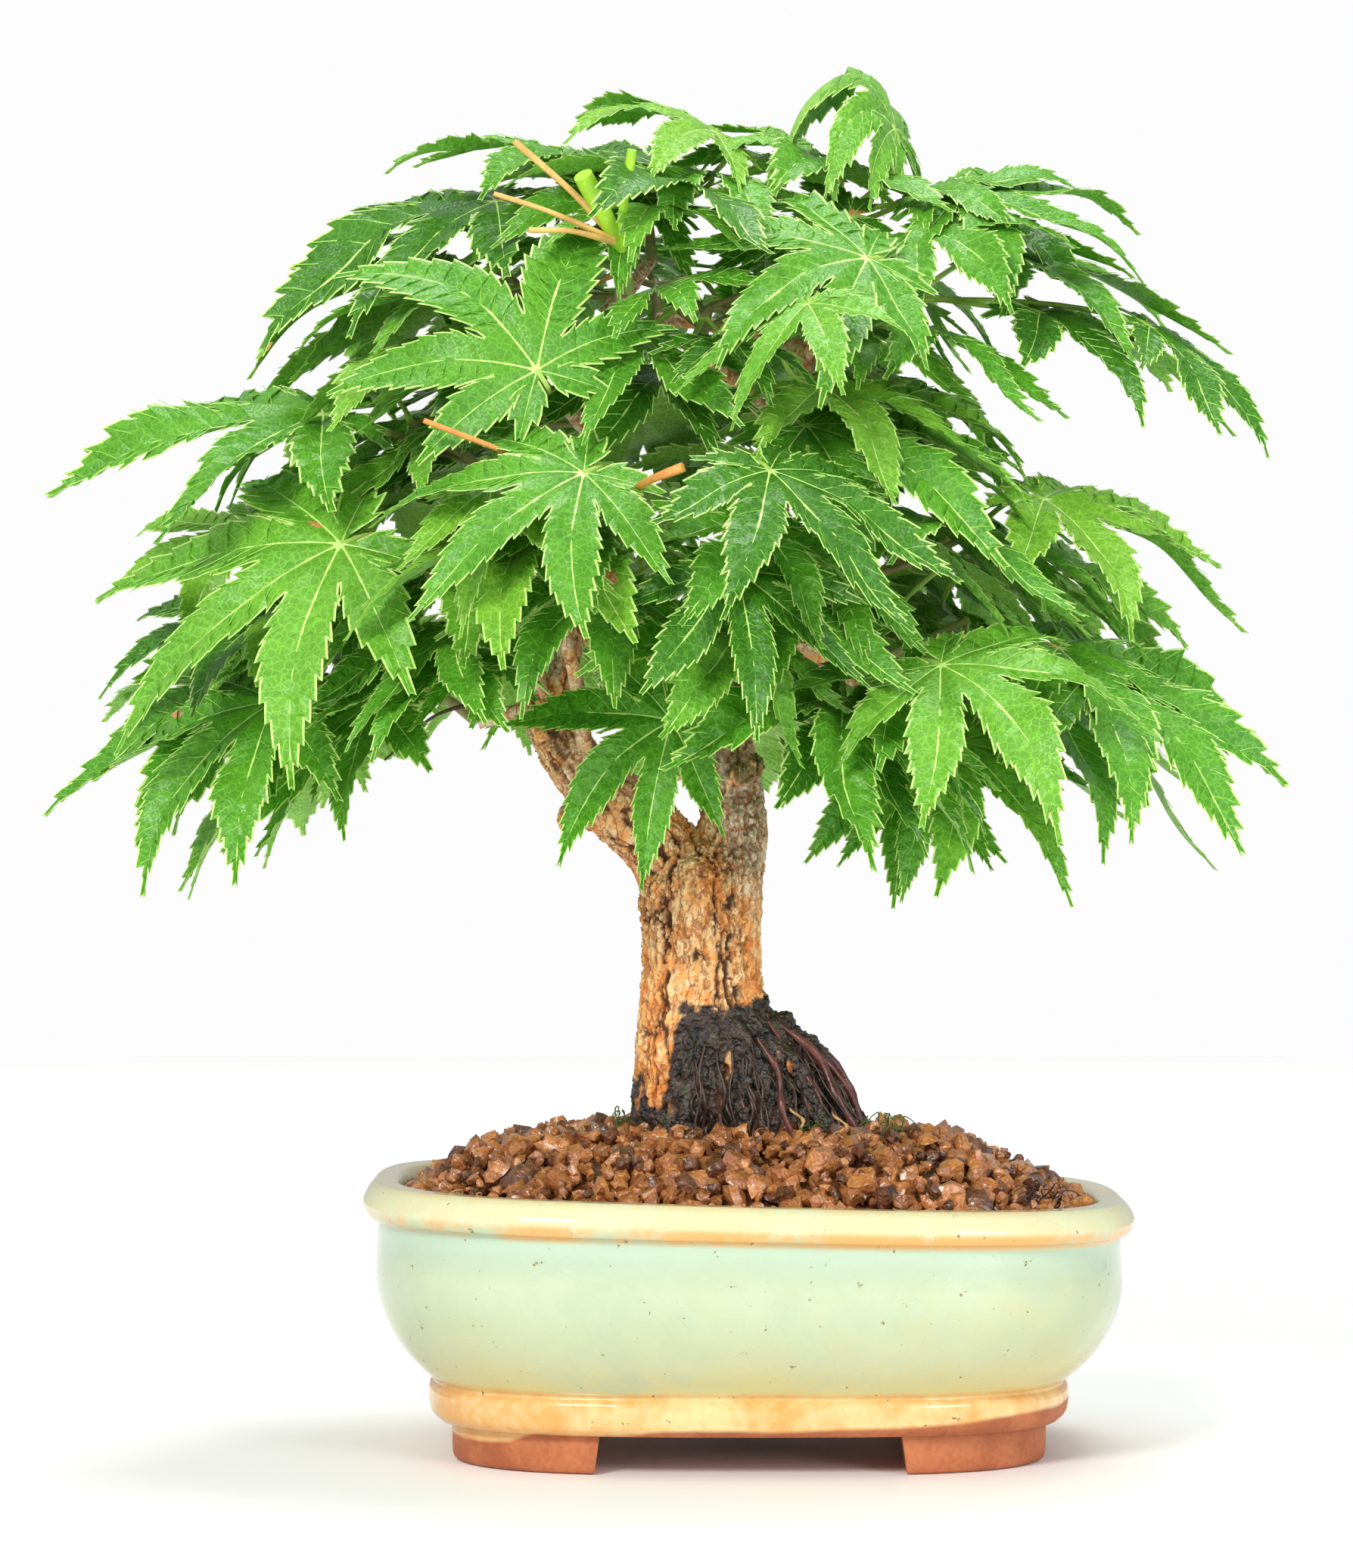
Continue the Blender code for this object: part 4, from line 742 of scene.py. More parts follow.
def lobe_side(lobe, side, teeth, shape, rng):
    """One half of a lobe as rows of (rib, half way, margin's start, edge) places (along, across) in the flat leaf.
    Up to the parting the edge runs on the line half way to the next lobe; past it the edge follows the lobe's own
    outline, with teeth that lean towards its tip."""
    way, length = LOBES[lobe]
    other = lobe + side
    if 0 <= other < len(LOBES):
        half_angle = math.radians(abs(LOBES[other][0] - way) / 2)
        parting = FINE_SINUS * min(length, LOBES[other][1])
    else:
        half_angle, parting = math.radians(26), BASE_REACH
    wide = FINE_WIDE * (0.35 + 0.65 * length) * rng.uniform(0.9, 1.1)
    start = np.array([parting * math.cos(half_angle), parting * math.sin(half_angle)])
    step = np.arange(WEB_ROWS) / WEB_ROWS
    tooth_parts = np.tile(np.array(shape), (teeth, 1))
    share = (np.repeat(np.arange(teeth), len(shape)) + tooth_parts[:, 0]) / teeth
    share = np.append(share, 1.0)
    out, lean = np.append(tooth_parts[:, 1], 0.0), np.append(tooth_parts[:, 2], 0.0)
    keys = np.array([(where, start[1] / wide if width is None else width) for where, width in MARGIN])
    pitch = (length - start[0]) / teeth
    size = np.append(np.repeat([rng.uniform(0.8, 1.2) for _ in range(teeth)], len(shape)), 1.0)
    bite = 0.4 * pitch * (1 - 0.5 * share) * size
    across = wide * np.interp(share, keys[:, 0], keys[:, 1]) + bite * (out - 0.42) * np.minimum(1, share * 12)
    along = start[0] + (length - start[0]) * share + pitch * lean
    edge = np.vstack([np.outer(step, start), np.stack([along, np.maximum(across, 0.0)], axis=1)])
    edge[-1] = (length, 0.0)
    low = 0.75 * FINE_SINUS * length  # the same on both halves, which share the rib
    rib = np.concatenate([step * low, low + (length - low) * share**1.05])
    rib = np.stack([rib, np.zeros(len(rib))], axis=1)
    across = edge - rib
    far = np.maximum(np.linalg.norm(across, axis=1, keepdims=True), 1e-6)
    return np.stack([rib, rib + across * 0.5, rib + across * np.clip(1 - MARGIN_WIDE / far, 0.55, 1), edge], axis=1)


def swung(along, across, turn, sway):
    """Reach and turn of places in a lobe, which sways to one side past the parting."""
    reach = np.hypot(along, across)
    return reach, turn + np.arctan2(across, along) + sway * np.maximum(reach - 0.35, 0)


def vein(line, wide, tall, turn, sway):
    """A raised vein: three-sided rings along a line of (along, across) places, wide and tall at each."""
    run = unit(np.gradient(line, axis=0))
    side = np.stack([-run[:, 1], run[:, 0]], axis=1) * wide[:, None]
    rows = []
    for place, lift in ((line - side, 0.2), (line + side, 0.2), (line, None)):
        reach, turned = swung(place[:, 0], place[:, 1], turn, sway)
        thick = 1 - 0.45 * reach
        rows.append(np.stack([reach, turned, np.abs(place[:, 1]), thick + tall if lift is None else thick * lift],
                             axis=1))
    rings = np.stack(rows, axis=1)
    count = len(line)
    ends = np.array([[0, 2, 1], [count * 3 - 3, count * 3 - 2, count * 3 - 1]])
    quads = grid_faces(count, 3)
    return rings.reshape(-1, 4), [np.vstack([ends, quads[:, [0, 1, 2]], quads[:, [0, 2, 3]]])]


def lobe_veins(rows, teeth, shape, side, turn, sway):
    """A fine side vein to each tooth, leaving the rib at about 45 degrees and bowing forward."""
    made = []
    for tooth in range(teeth):
        tip = rows[WEB_ROWS + tooth * len(shape) + len(shape) - 1, 3]
        root = np.array([max(tip[0] - 1.15 * tip[1], 0.06), 0.0])
        line = root + (tip - root) * np.array([0.0, 0.5, 0.88])[:, None]
        line[1, 0] -= 0.1 * tip[1]
        line = line * np.array([1.0, side])
        made.append(vein(line, np.array([0.0024, 0.0018, 0.0008]), np.array([0.42, 0.45, 0.15]), turn, sway))
    return made


def leaf_pattern(seed, big_teeth, shape):
    """A fine leaf laid flat, to be bent as the coarse one is: its places (reach, turn, rise, thickness), the faces
    of its upper skin, pale margin and lower skin, then its raised ribs and its side veins. The skins meet at the
    edge and at the hub, and the edge is frilled."""
    rng = random.Random(seed)
    places, upper, margin, lower, ribs, veins, first = [], [], [], [], [], [], 0
    for lobe, (way, length) in enumerate(LOBES):
        teeth = max(3, round(big_teeth * min(1.0, length * 1.08)))
        turn, sway = math.radians(way), math.copysign(rng.uniform(0.02, 0.3), way or rng.uniform(-1, 1))
        for side in (-1, 1):
            rows = lobe_side(lobe, side, teeth, shape, rng)
            count = len(rows)
            row = np.arange(count)
            joined = 0 <= lobe + side < len(LOBES)
            reach, turned = swung(rows[..., 0], rows[..., 1] * side, turn, sway)
            rise = np.abs(rows[..., 1]) * (1 - 0.25 * np.abs(rows[..., 1]) / FINE_WIDE)
            rise[WEB_ROWS:-1, 1] += np.resize(QUILT[-len(shape):], count - WEB_ROWS - 1) / FOLD
            frill = 0.021 * np.sin(1.15 * row + rng.uniform(0, 6.3)) * (row > WEB_ROWS + 1) * (row < count - 3)
            rise[:, 2:] += frill[:, None]
            thick = np.ones((count, 4))
            thick[:, 3] = np.where((row >= WEB_ROWS) | (not joined), 0.0, 1 - (row / WEB_ROWS) ** 2)
            thick[:, 2] = (1 + thick[:, 3]) / 2
            thick[[0, -1]] = 0.0
            thick *= 1 - 0.45 * reach
            for skin in (1, -1):
                places.append(np.stack([reach, turned, rise, skin * thick + 0.0], axis=-1).reshape(-1, 4))
                number = np.arange(count * 4).reshape(count, 4) + first
                first += count * 4
                for a, b in ((0, 1), (1, 2), (2, 3)):
                    ring = [number[:-1, a], number[1:, a], number[1:, b], number[:-1, b]]
                    quads = np.stack(ring if side * skin > 0 else [ring[0], *ring[:0:-1]], axis=-1)
                    edged = (row[:-1] >= WEB_ROWS) & (a == 2)
                    for faces, mine in ((upper if skin > 0 else lower, ~edged), (margin, edged)):
                        faces += [quads[mine][:, [0, 1, 2]], quads[mine][:, [0, 2, 3]]]
            if length > 0.5:
                veins += lobe_veins(rows, teeth, shape, side, turn, sway)
        line = np.stack([np.linspace(0.0, 0.95 * length, 9), np.zeros(9)], axis=1)
        narrow = 1 - 0.72 * np.linspace(0, 1, 9)
        ribs.append(vein(line, 0.0094 * narrow * (0.5 + 0.5 * length), 0.9 * narrow, turn, sway))
    places = np.vstack(places)
    x, y = places[:, 0] * np.cos(places[:, 1]), places[:, 0] * np.sin(places[:, 1])
    _, kept, to = np.unique(np.round(np.stack([x, y, places[:, 3]], axis=1), 5) + 0.0, axis=0, return_index=True,
                            return_inverse=True)
    to = to.ravel()
    skins = []
    for faces in (upper, margin, lower):
        faces = to[np.vstack(faces)]
        real = (faces[:, 0] != faces[:, 1]) & (faces[:, 1] != faces[:, 2]) & (faces[:, 0] != faces[:, 2])
        skins.append(faces[real])
    return places[kept], skins, gather(ribs), gather(veins)


def bent(leaf, places, habit):
    """A pattern's places, bent as the coarse leaf is. Its habit is how much steeper it folds, the height and phase
    of a slow ripple along the lobes, how far the lobes' tips curl down, some more than others, and how much each
    lobe turns about its own rib past the partings."""
    fold, ripple, phase, curl, twists = habit
    size, reach, turn = leaf[4], places[:, 0], places[:, 1]
    lift = places[:, 2] * FOLD * fold + places[:, 3] * HALF_THICK
    lift = lift + ripple * np.sin(8.5 * reach + phase + 2 * turn) * ease(reach, 0.15, 0.6)
    lift = lift - curl * (1 + np.sin(2.3 * turn + phase)) * np.maximum(reach - 0.45, 0) ** 1.5
    off_rib = turn[:, None] - np.radians([way for way, _ in LOBES])
    lobe = np.abs(off_rib).argmin(axis=1)
    across = reach * np.sin(off_rib[np.arange(len(lobe)), lobe])
    lift = lift + np.array(twists)[lobe] * across * ease(reach, 0.34, 0.62)
    return bend(leaf, reach * size, turn, lift * size)


# ---------- finishes


def node(tree, kind, inputs=None, **settings):
    """A shader node with its settings; each input is a value or another node's output."""
    made = tree.nodes.new(kind)
    for key, value in settings.items():
        setattr(made, key, value)
    for key, value in (inputs or {}).items():
        if isinstance(value, bpy.types.NodeSocket):
            tree.links.new(value, made.inputs[key])
        else:
            made.inputs[key].default_value = value
    return made


def noise(tree, place, scale, detail, rough=0.5):
    """Smooth noise at a place: first as a number, then as a colour."""
    return node(tree, "ShaderNodeTexNoise", {"Vector": place, "Scale": scale, "Detail": detail,
                                             "Roughness": rough}).outputs


def mixed(tree, share, first, second):
    """A number that share of the way from the first to the second."""
    return node(tree, "ShaderNodeMix", {0: share, 2: first, 3: second}, data_type="FLOAT").outputs[0]


def reckoned(tree, operation, first, second, kind="ShaderNodeMath"):
    """Two values added, subtracted or multiplied."""
    return node(tree, kind, {0: first, 1: second}, operation=operation).outputs[0]


def new_group(name, inputs, result):
    """An empty node group, the sockets that its inputs come from, of which the first is a place and the others are
    numbers, and the socket for its result, a number."""
    group = bpy.data.node_groups.new(name, "ShaderNodeTree")
    for k, label in enumerate(inputs):
        group.interface.new_socket(label, in_out="INPUT", socket_type="NodeSocketFloat" if k else "NodeSocketVector")
    group.interface.new_socket(result, in_out="OUTPUT", socket_type="NodeSocketFloat")
    sockets = group.nodes.new("NodeGroupInput").outputs[:len(inputs)]
    return group, sockets, group.nodes.new("NodeGroupOutput").inputs[0]


def make_mottling():
    """Soft-edged patches: coarse and fine noise together, taken between two levels."""
    group, (place, scale, fine_scale, middle, softness), mask = new_group(
        "mottling", ("Place", "Scale", "Fine Scale", "Middle", "Softness"), "Mask")
    both = mixed(group, 0.38, noise(group, place, scale, 2.0)[0], noise(group, place, fine_scale, 3.0, 0.6)[0])
    low, high = (reckoned(group, operation, middle, softness) for operation in ("SUBTRACT", "ADD"))
    taken = node(group, "ShaderNodeMapRange", {0: both, 1: low, 2: high}, interpolation_type="SMOOTHSTEP")
    group.links.new(taken.outputs[0], mask)
    return group


def make_pitting():
    """Heights of a fine uneven surface: noise, less the dips between small cells."""
    group, (place, scale, cell_scale, cell_share), height = new_group(
        "pitting", ("Place", "Scale", "Cell Scale", "Cell Share"), "Height")
    cells = node(group, "ShaderNodeTexVoronoi", {"Vector": place, "Scale": cell_scale}).outputs[0]
    group.links.new(mixed(group, cell_share, noise(group, place, scale, 3.0, 0.6)[0], cells), height)
    return group


MOTTLING, PITTING = make_mottling(), make_pitting()
GLAZE_SPAN = 0.065  # half the width over which the glaze's lower edge climbs


def blank(name):
    """A new finish: its node tree, its shader, and the object's own coordinates."""
    finish = bpy.data.materials.new(name)
    finish.use_nodes = True
    tree = finish.node_tree
    place = node(tree, "ShaderNodeTexCoord").outputs["Object"]
    return finish, tree, tree.nodes["Principled BSDF"], place


def mottled(tree, place, scale, fine_scale, middle=0.5, softness=0.15):
    """The mask of soft-edged patches at that place."""
    return node(tree, "ShaderNodeGroup", {"Place": place, "Scale": scale, "Fine Scale": fine_scale, "Middle": middle,
                                          "Softness": softness}, node_tree=MOTTLING).outputs["Mask"]


def blended(tree, mask, below, above):
    """A colour that goes from below to above as the mask goes from 0 to 1; either may be a plain colour."""
    given = [(*c, 1.0) if isinstance(c, tuple) else c for c in (below, above)]
    return node(tree, "ShaderNodeMix", {0: mask, 6: given[0], 7: given[1]}, data_type="RGBA").outputs[2]


def layered(tree, colour, *layers):
    """A colour under others: each layer is a mask and the colour that covers what is below where the mask is 1."""
    for mask, above in layers:
        colour = blended(tree, mask, colour, above)
    return colour


def levels(tree, value, *stops):
    """A number read off straight lines between (value, result) stops."""
    curve = node(tree, "ShaderNodeValToRGB", {0: value})
    ramp = curve.color_ramp
    while len(ramp.elements) < len(stops):
        ramp.elements.new(0.5)
    for element, (where, grey) in zip(ramp.elements, stops):
        element.position = where
        element.color = (grey, grey, grey, 1.0)
    return curve.outputs[0]


def bumped(tree, shader, place, distance, scale, cell_scale, cell_share=0.4):
    """Gives the shader a fine uneven surface of that depth."""
    height = node(tree, "ShaderNodeGroup", {"Place": place, "Scale": scale, "Cell Scale": cell_scale,
                                            "Cell Share": cell_share}, node_tree=PITTING).outputs["Height"]
    bump = node(tree, "ShaderNodeBump", {"Strength": 1.0, "Distance": distance, "Height": height})
    tree.links.new(bump.outputs[0], shader.inputs["Normal"])


def carried(tree, value, low=0.0, high=1.0, start=0.0, end=1.0):
    """A value taken in a straight line from the span low to high over to the span start to end, and held there."""
    return node(tree, "ShaderNodeMapRange", {0: value, 1: low, 2: high, 3: start, 4: end}).outputs[0]


def cell_lines(tree, place, scale, wide, strength=1.0):
    """Lines between scattered cells: that strength on a line, falling to 0 at that width beside it."""
    cells = node(tree, "ShaderNodeTexVoronoi", {"Vector": place, "Scale": scale}, feature="DISTANCE_TO_EDGE")
    return carried(tree, cells.outputs[0], 0.0, wide, strength, 0.0)


def surfaced(tree, shader, colour, rough, **plain):
    """Gives the shader a colour, a roughness and plain values for other sockets, named with _ for a space."""
    values = {"Base Color": colour, "Roughness": rough, **{key.replace("_", " "): plain[key] for key in plain}}
    for key, value in values.items():
        if isinstance(value, bpy.types.NodeSocket):
            tree.links.new(value, shader.inputs[key])
        else:
            shader.inputs[key].default_value = value


def marked(tree, name):
    """The mark of that name on the piece's points."""
    return node(tree, "ShaderNodeAttribute", attribute_name=name).outputs["Fac"]


def leaf_finish(name, light, deep, shine, gloss=0.33):
    """A living blade: two greens in soft patches under a net of paler fine veins, a waxy sheen, and a fine pebbled
    skin."""
    finish, tree, shader, place = blank(name)
    mask = mottled(tree, place, 95.0, 520.0, 0.5, 0.22)
    net = cell_lines(tree, place, 640.0, 0.11, 0.42)
    pale = tuple(min(1.0, 1.7 * share + 0.02) for share in light)
    green = blended(tree, net, blended(tree, mask, deep, light), pale)
    surfaced(tree, shader, green, carried(tree, mask, start=shine + 0.07, end=shine - 0.05),
             Specular_IOR_Level=gloss, Subsurface_Weight=0.18, Subsurface_Radius=(0.5, 1.0, 0.12),
             Subsurface_Scale=0.0006)
    bumped(tree, shader, place, 0.00016, 1300.0, 1500.0, 0.55)
    return finish


def stem_finish(name, light, deep, rough=0.42):
    """A green or woody skin in two colours."""
    finish, tree, shader, place = blank(name)
    mask = mottled(tree, place, 160.0, 900.0, 0.5, 0.2)
    surfaced(tree, shader, blended(tree, mask, deep, light), rough)
    bumped(tree, shader, place, 0.00012, 1600.0, 1100.0, 0.4)
    return finish


def crackled(tree, place, scale, stretch, wide):
    """1 on the winding lines between cells drawn out upwards, 0 beside them, and faded out in some patches."""
    kind = "ShaderNodeVectorMath"
    drift = reckoned(tree, "MULTIPLY", noise(tree, place, 380.0, 3.0)[1], (0.0028, 0.0028, 0.004), kind)
    drawn = reckoned(tree, "MULTIPLY", reckoned(tree, "ADD", place, drift, kind), (1.0, 1.0, stretch), kind)
    kept = mottled(tree, place, 210.0, 900.0, 0.45, 0.09)
    return reckoned(tree, "MULTIPLY", cell_lines(tree, drawn, scale, wide), kept)


def bark_finish():
    """Flaking bark, whose marks on the points say how deep in a crack, damp, pale, reddish or mossy each place is.
    Cracks take the inner bark's red-brown, darkened towards near black with their depth as painted shade. Fine cracks
    run upwards all over it."""
    finish, tree, shader, place = blank("bark")
    patch = mottled(tree, place, 420.0, 1900.0, 0.49, 0.11)
    crack, damp = marked(tree, "crack"), marked(tree, "damp")
    colour = layered(
        tree, blended(tree, patch, (1.0, 0.43, 0.115), (1.0, 0.78, 0.43)),
        (marked(tree, "warm"), blended(tree, patch, (0.78, 0.24, 0.05), (1.0, 0.52, 0.17))),
        (marked(tree, "pale"), blended(tree, patch, (0.46, 0.38, 0.24), (0.92, 0.84, 0.66))),
        (crackled(tree, place, 480.0, 0.24, 0.105), (0.42, 0.12, 0.026)),
        (crackled(tree, place, 900.0, 0.4, 0.05), (0.64, 0.24, 0.062)),
        # painted shade: the deeper in a crack, the darker, from the inner bark's red-brown down to near black
        (crack, blended(tree, crack, (0.5, 0.16, 0.032), (0.04, 0.011, 0.004))),
        (damp, blended(tree, patch, (0.004, 0.003, 0.003), (0.056, 0.034, 0.025))),
        (marked(tree, "moss"), (0.045, 0.085, 0.018)))
    surfaced(tree, shader, colour, carried(tree, damp, start=0.74, end=0.24))
    bumped(tree, shader, place, 0.00065, 1500.0, 1000.0, 0.45)
    return finish


def glaze_finish():
    """Pale green glaze that breaks to cream and orange where it runs thin, pools bluish under the lip, and stops
    above bare clay. The cream on the lip's top is also made paler than the glaze as painted light, where the lip
    faces up to the lamps. The mark level is the height on the upright pot, from 0 at the foot to 1 at the lip."""
    finish, tree, shader, place = blank("glaze")
    level = marked(tree, "level")
    stain = mottled(tree, place, 55.0, 330.0, 0.45, 0.12)
    runs = mottled(tree, place, 42.0, 280.0, 0.42, 0.16)
    under_lip = levels(tree, level, (0.0, 0.0), (0.7, 0.0), (0.8, 0.75), (0.845, 0.9), (0.875, 0.0))
    # the lip's top, cream: partly the glaze breaking thin there, partly painted light on its upward face
    lip = levels(tree, level, (0.0, 0.0), (0.88, 0.0), (0.93, 0.75), (1.0, 0.75))
    lip_edge = levels(tree, level, (0.0, 0.0), (0.85, 0.0), (0.87, 1.0), (0.905, 0.95), (0.925, 0.25),
                      (0.975, 0.1), (1.0, 0.4))
    low = levels(tree, level, (0.0, 1.0), (0.28, 1.0), (0.35, 0.8), (0.44, 0.25), (0.6, 0.0))
    band = levels(tree, level, (0.0, 1.0), (0.28, 1.0), (0.315, 0.0))
    orange = blended(tree, mottled(tree, place, 70.0, 420.0, 0.5, 0.16), (0.72, 0.36, 0.1), (0.78, 0.58, 0.28))
    colour = layered(
        tree, blended(tree, mottled(tree, place, 30.0, 170.0, 0.5, 0.18), (0.43, 0.52, 0.355),
                      (0.5, 0.57, 0.385)),
        (mottled(tree, place, 19.0, 90.0, 0.62, 0.09), (0.51, 0.53, 0.3)),
        (under_lip, (0.425, 0.56, 0.425)),
        (lip, (0.72, 0.72, 0.44)),
        (reckoned(tree, "MULTIPLY", lip_edge, stain), (0.76, 0.4, 0.12)),
        (reckoned(tree, "MULTIPLY", low, runs), (0.64, 0.57, 0.25)),
        (band, orange),
        (mottled(tree, place, 430.0, 1500.0, 0.665, 0.02), (0.22, 0.15, 0.04)),  # specks
        (cell_lines(tree, place, 190.0, 0.018, 0.22), (0.42, 0.47, 0.25)))  # crazing
    clay = blended(tree, mottled(tree, place, 120.0, 900.0, 0.5, 0.2), (0.34, 0.09, 0.029), (0.51, 0.165, 0.058))
    # the glaze ends on a wavy line that climbs from the left to the right
    wave = noise(tree, place, 42.0, 2.0)[0]
    side = node(tree, "ShaderNodeSeparateXYZ", {0: place}).outputs[0]
    side = carried(tree, side, MOVE[0] - GLAZE_SPAN, MOVE[0] + GLAZE_SPAN)
    edge = levels(tree, side, (0.0, 0.08), (0.06, 0.065), (0.15, 0.07), (0.19, 0.112), (0.3, 0.12),
                  (0.55, 0.13), (0.77, 0.145), (0.9, 0.165), (1.0, 0.19))
    edge = reckoned(tree, "ADD", edge, reckoned(tree, "MULTIPLY", wave, 0.06))
    bare = carried(tree, reckoned(tree, "SUBTRACT", level, edge), 0.0, 0.015, 1.0, 0.0)
    surfaced(tree, shader, blended(tree, bare, colour, clay), carried(tree, bare, start=0.09, end=0.62))
    bumped(tree, shader, place, 0.0001, 240.0, 420.0, 0.15)
    return finish


def grit_finish(name, light, deep, rough=0.24):
    """Damp fired clay: two browns and a rough, pitted skin under a film of water that glistens."""
    finish, tree, shader, place = blank(name)
    mask = mottled(tree, place, 330.0, 1500.0, 0.5, 0.2)
    wet = carried(tree, mask, start=rough - 0.08, end=rough + 0.16)
    surfaced(tree, shader, blended(tree, mask, deep, light), wet, Specular_IOR_Level=0.65, Coat_Weight=0.45,
             Coat_Roughness=0.1)
    bumped(tree, shader, place, 0.00055, 900.0, 1100.0, 0.45)
    return finish


def floor_finish():
    """A nearly white floor with very soft, large patches."""
    finish, tree, shader, place = blank("floor")
    mask = mottled(tree, place, 3.0, 40.0, 0.5, 0.3)
    surfaced(tree, shader, blended(tree, mask, (0.955, 0.955, 0.95), (0.975, 0.975, 0.97)), 0.55)
    return finish


# greens of the blades' upper sides, as (light, deep, roughness)
BLADES = {
    "blade_bright": ((0.155, 0.395, 0.033), (0.083, 0.28, 0.016), 0.36),
    "blade_mid": ((0.103, 0.318, 0.02), (0.049, 0.212, 0.01), 0.34),
    "blade_deep": ((0.058, 0.205, 0.011), (0.022, 0.12, 0.004), 0.33),
    "blade_fresh": ((0.205, 0.44, 0.038), (0.118, 0.33, 0.018), 0.38),
}
UPPER = [leaf_finish(name, *greens) for name, greens in BLADES.items()]
UNDER = leaf_finish("blade_underside", (0.25, 0.52, 0.085), (0.15, 0.38, 0.045), 0.5, 0.2)
EDGE = leaf_finish("blade_margin", (0.56, 0.82, 0.23), (0.4, 0.7, 0.13), 0.42)
DRY = leaf_finish("dry_spot", (0.62, 0.3, 0.12), (0.34, 0.12, 0.035), 0.6)
VEIN = stem_finish("rib", (0.66, 0.88, 0.28), (0.5, 0.78, 0.17))
FINE_VEIN = stem_finish("side_vein", (0.34, 0.66, 0.1), (0.24, 0.55, 0.06))
STALK_GREEN = stem_finish("stalk_green", (0.42, 0.62, 0.11), (0.26, 0.46, 0.06))
STALK_TAN = stem_finish("stalk_tan", (0.78, 0.52, 0.16), (0.62, 0.34, 0.09))
TWIG = stem_finish("twig_skin", (0.3, 0.34, 0.1), (0.2, 0.15, 0.06), 0.55)
BARK = bark_finish()
GLAZE = glaze_finish()
GRIT_RED = grit_finish("grit_red", (0.66, 0.27, 0.085), (0.27, 0.083, 0.02))
GRIT_BROWN = grit_finish("grit_brown", (0.48, 0.175, 0.05), (0.17, 0.052, 0.013))
# also the bed's finish, where it is painted shade in the gaps between grains
GRIT_DARK = grit_finish("grit_dark", (0.2, 0.066, 0.024), (0.055, 0.018, 0.008), 0.22)
ROOT_SKIN = stem_finish("root_skin", (0.17, 0.048, 0.036), (0.028, 0.008, 0.007), 0.3)
DARK_ROOT = stem_finish("dark_root", (0.085, 0.042, 0.028), (0.018, 0.009, 0.007), 0.32)
PALE_ROOT = stem_finish("pale_root", (0.72, 0.44, 0.2), (0.45, 0.22, 0.09), 0.55)
CUT_GREEN = stem_finish("cut_green", (0.46, 0.76, 0.05), (0.3, 0.62, 0.03))
STALK_ORANGE = stem_finish("stalk_orange", (0.8, 0.38, 0.09), (0.58, 0.22, 0.045))
DEAD_WOOD = stem_finish("dead_wood", (0.16, 0.11, 0.075), (0.03, 0.018, 0.012), 0.7)
MOSS = stem_finish("moss", (0.11, 0.17, 0.035), (0.05, 0.075, 0.02), 0.8)


# ---------- crown

# which part of the crown each mass belongs to, so that each part is one piece
REGIONS = {
    "top": ("apex_right", "top_centre", "top_left", "front_upper"),
    "left": ("left_upper", "left_mid", "left_low", "left_bottom", "front_left", "front_left_low"),
    "right": ("right_upper", "right_mid", "right_low", "front_right", "front_mid", "front_low", "trunk_shoot"),
    "back": ("top_back", "back_upper", "back_right_upper", "back_right_low", "back_low", "back_left_low"),
}
# shares of the four greens
TINTS = {"top": (4, 5, 2, 1), "left": (4, 5, 2, 1), "right": (3, 5, 3, 1), "back": (2, 5, 4, 1)}
EDGE_KIND, UNDER_KIND, DRY_KIND = 4, 5, 6  # the places of these finishes after the four greens
BOX_MARGIN = 0.00015  # the least room between a leaf and the solids' box
FOLDS, RIPPLES, CURLS = (0.8, 1.7), (0.01, 0.03), (0.0, 0.13)  # from the least to the most, see bent
TWIST = 0.55  # the most that a lobe turns about its rib, as a slope
SPOT_SHARE = 0.16  # of the leaves have a dried spot
TAN_SHARE = 0.1  # of the stalks are tan
SMALL_STALK = 0.85  # a small leaf's stalk against a large one's
FIT = 0.992  # a fine leaf against its coarse one, so that its teeth stay within the solid's reach
STALK_RADII = (0.00088, 0.00066, 0.00052, 0.00055)  # at its foot, just above, a third of the way, and at the hub
TWIG_RADII = (0.00115, 0.00098, 0.00082)  # of a mass's stem at its foot, half way, and at its tip
SHOOT_RADII = (0.00082, 0.0007, 0.00068, 0.0008)  # of a twig on it, evenly spaced


def tube(line, radii, sides):
    """Round rings along a line, closed at both ends."""
    return closed_rings(tube_rings(line, radii, sides))


def spotted(rng, places, faces, tint):
    """The finish of each face of an upper skin: its tint, but on a few leaves a dried spot near an edge."""
    kinds = np.full(len(faces), tint)
    if rng.random() < SPOT_SHARE:
        flat = places[faces][..., :2].mean(axis=1)
        spot = flat[rng.randrange(len(faces))]
        off = np.hypot(flat[:, 0] - spot[0], spot[0] * (flat[:, 1] - spot[1]))
        kinds[off < rng.uniform(0.02, 0.05)] = DRY_KIND
    return kinds


def in_box(places):
    """Whether all places lie within the solids' own box."""
    low, high = (np.array(corner) - MOVE for corner in CAD_BOX)
    return (places > low + BOX_MARGIN).all() and (places < high - BOX_MARGIN).all()


def dressed(rng, leaf, pattern, open_sky):
    """One fine leaf of a pattern: how it is bent, and the coarse leaf it follows, drawn in where it would hang into
    the open gap and until it lies in the solids' box."""
    size = leaf[4] * (FIT * SKY_SHRINK if open_sky else FIT)
    leaf = (*leaf[:4], size, leaf[5])
    habit = (rng.uniform(*FOLDS), rng.uniform(*RIPPLES), rng.uniform(0, 6.3), rng.uniform(*CURLS),
             [rng.uniform(-TWIST, TWIST) for _ in LOBES])
    while not in_box(bent(leaf, pattern[0], habit)):
        leaf = (*leaf[:4], leaf[4] * 0.98, leaf[5])
    return leaf, habit


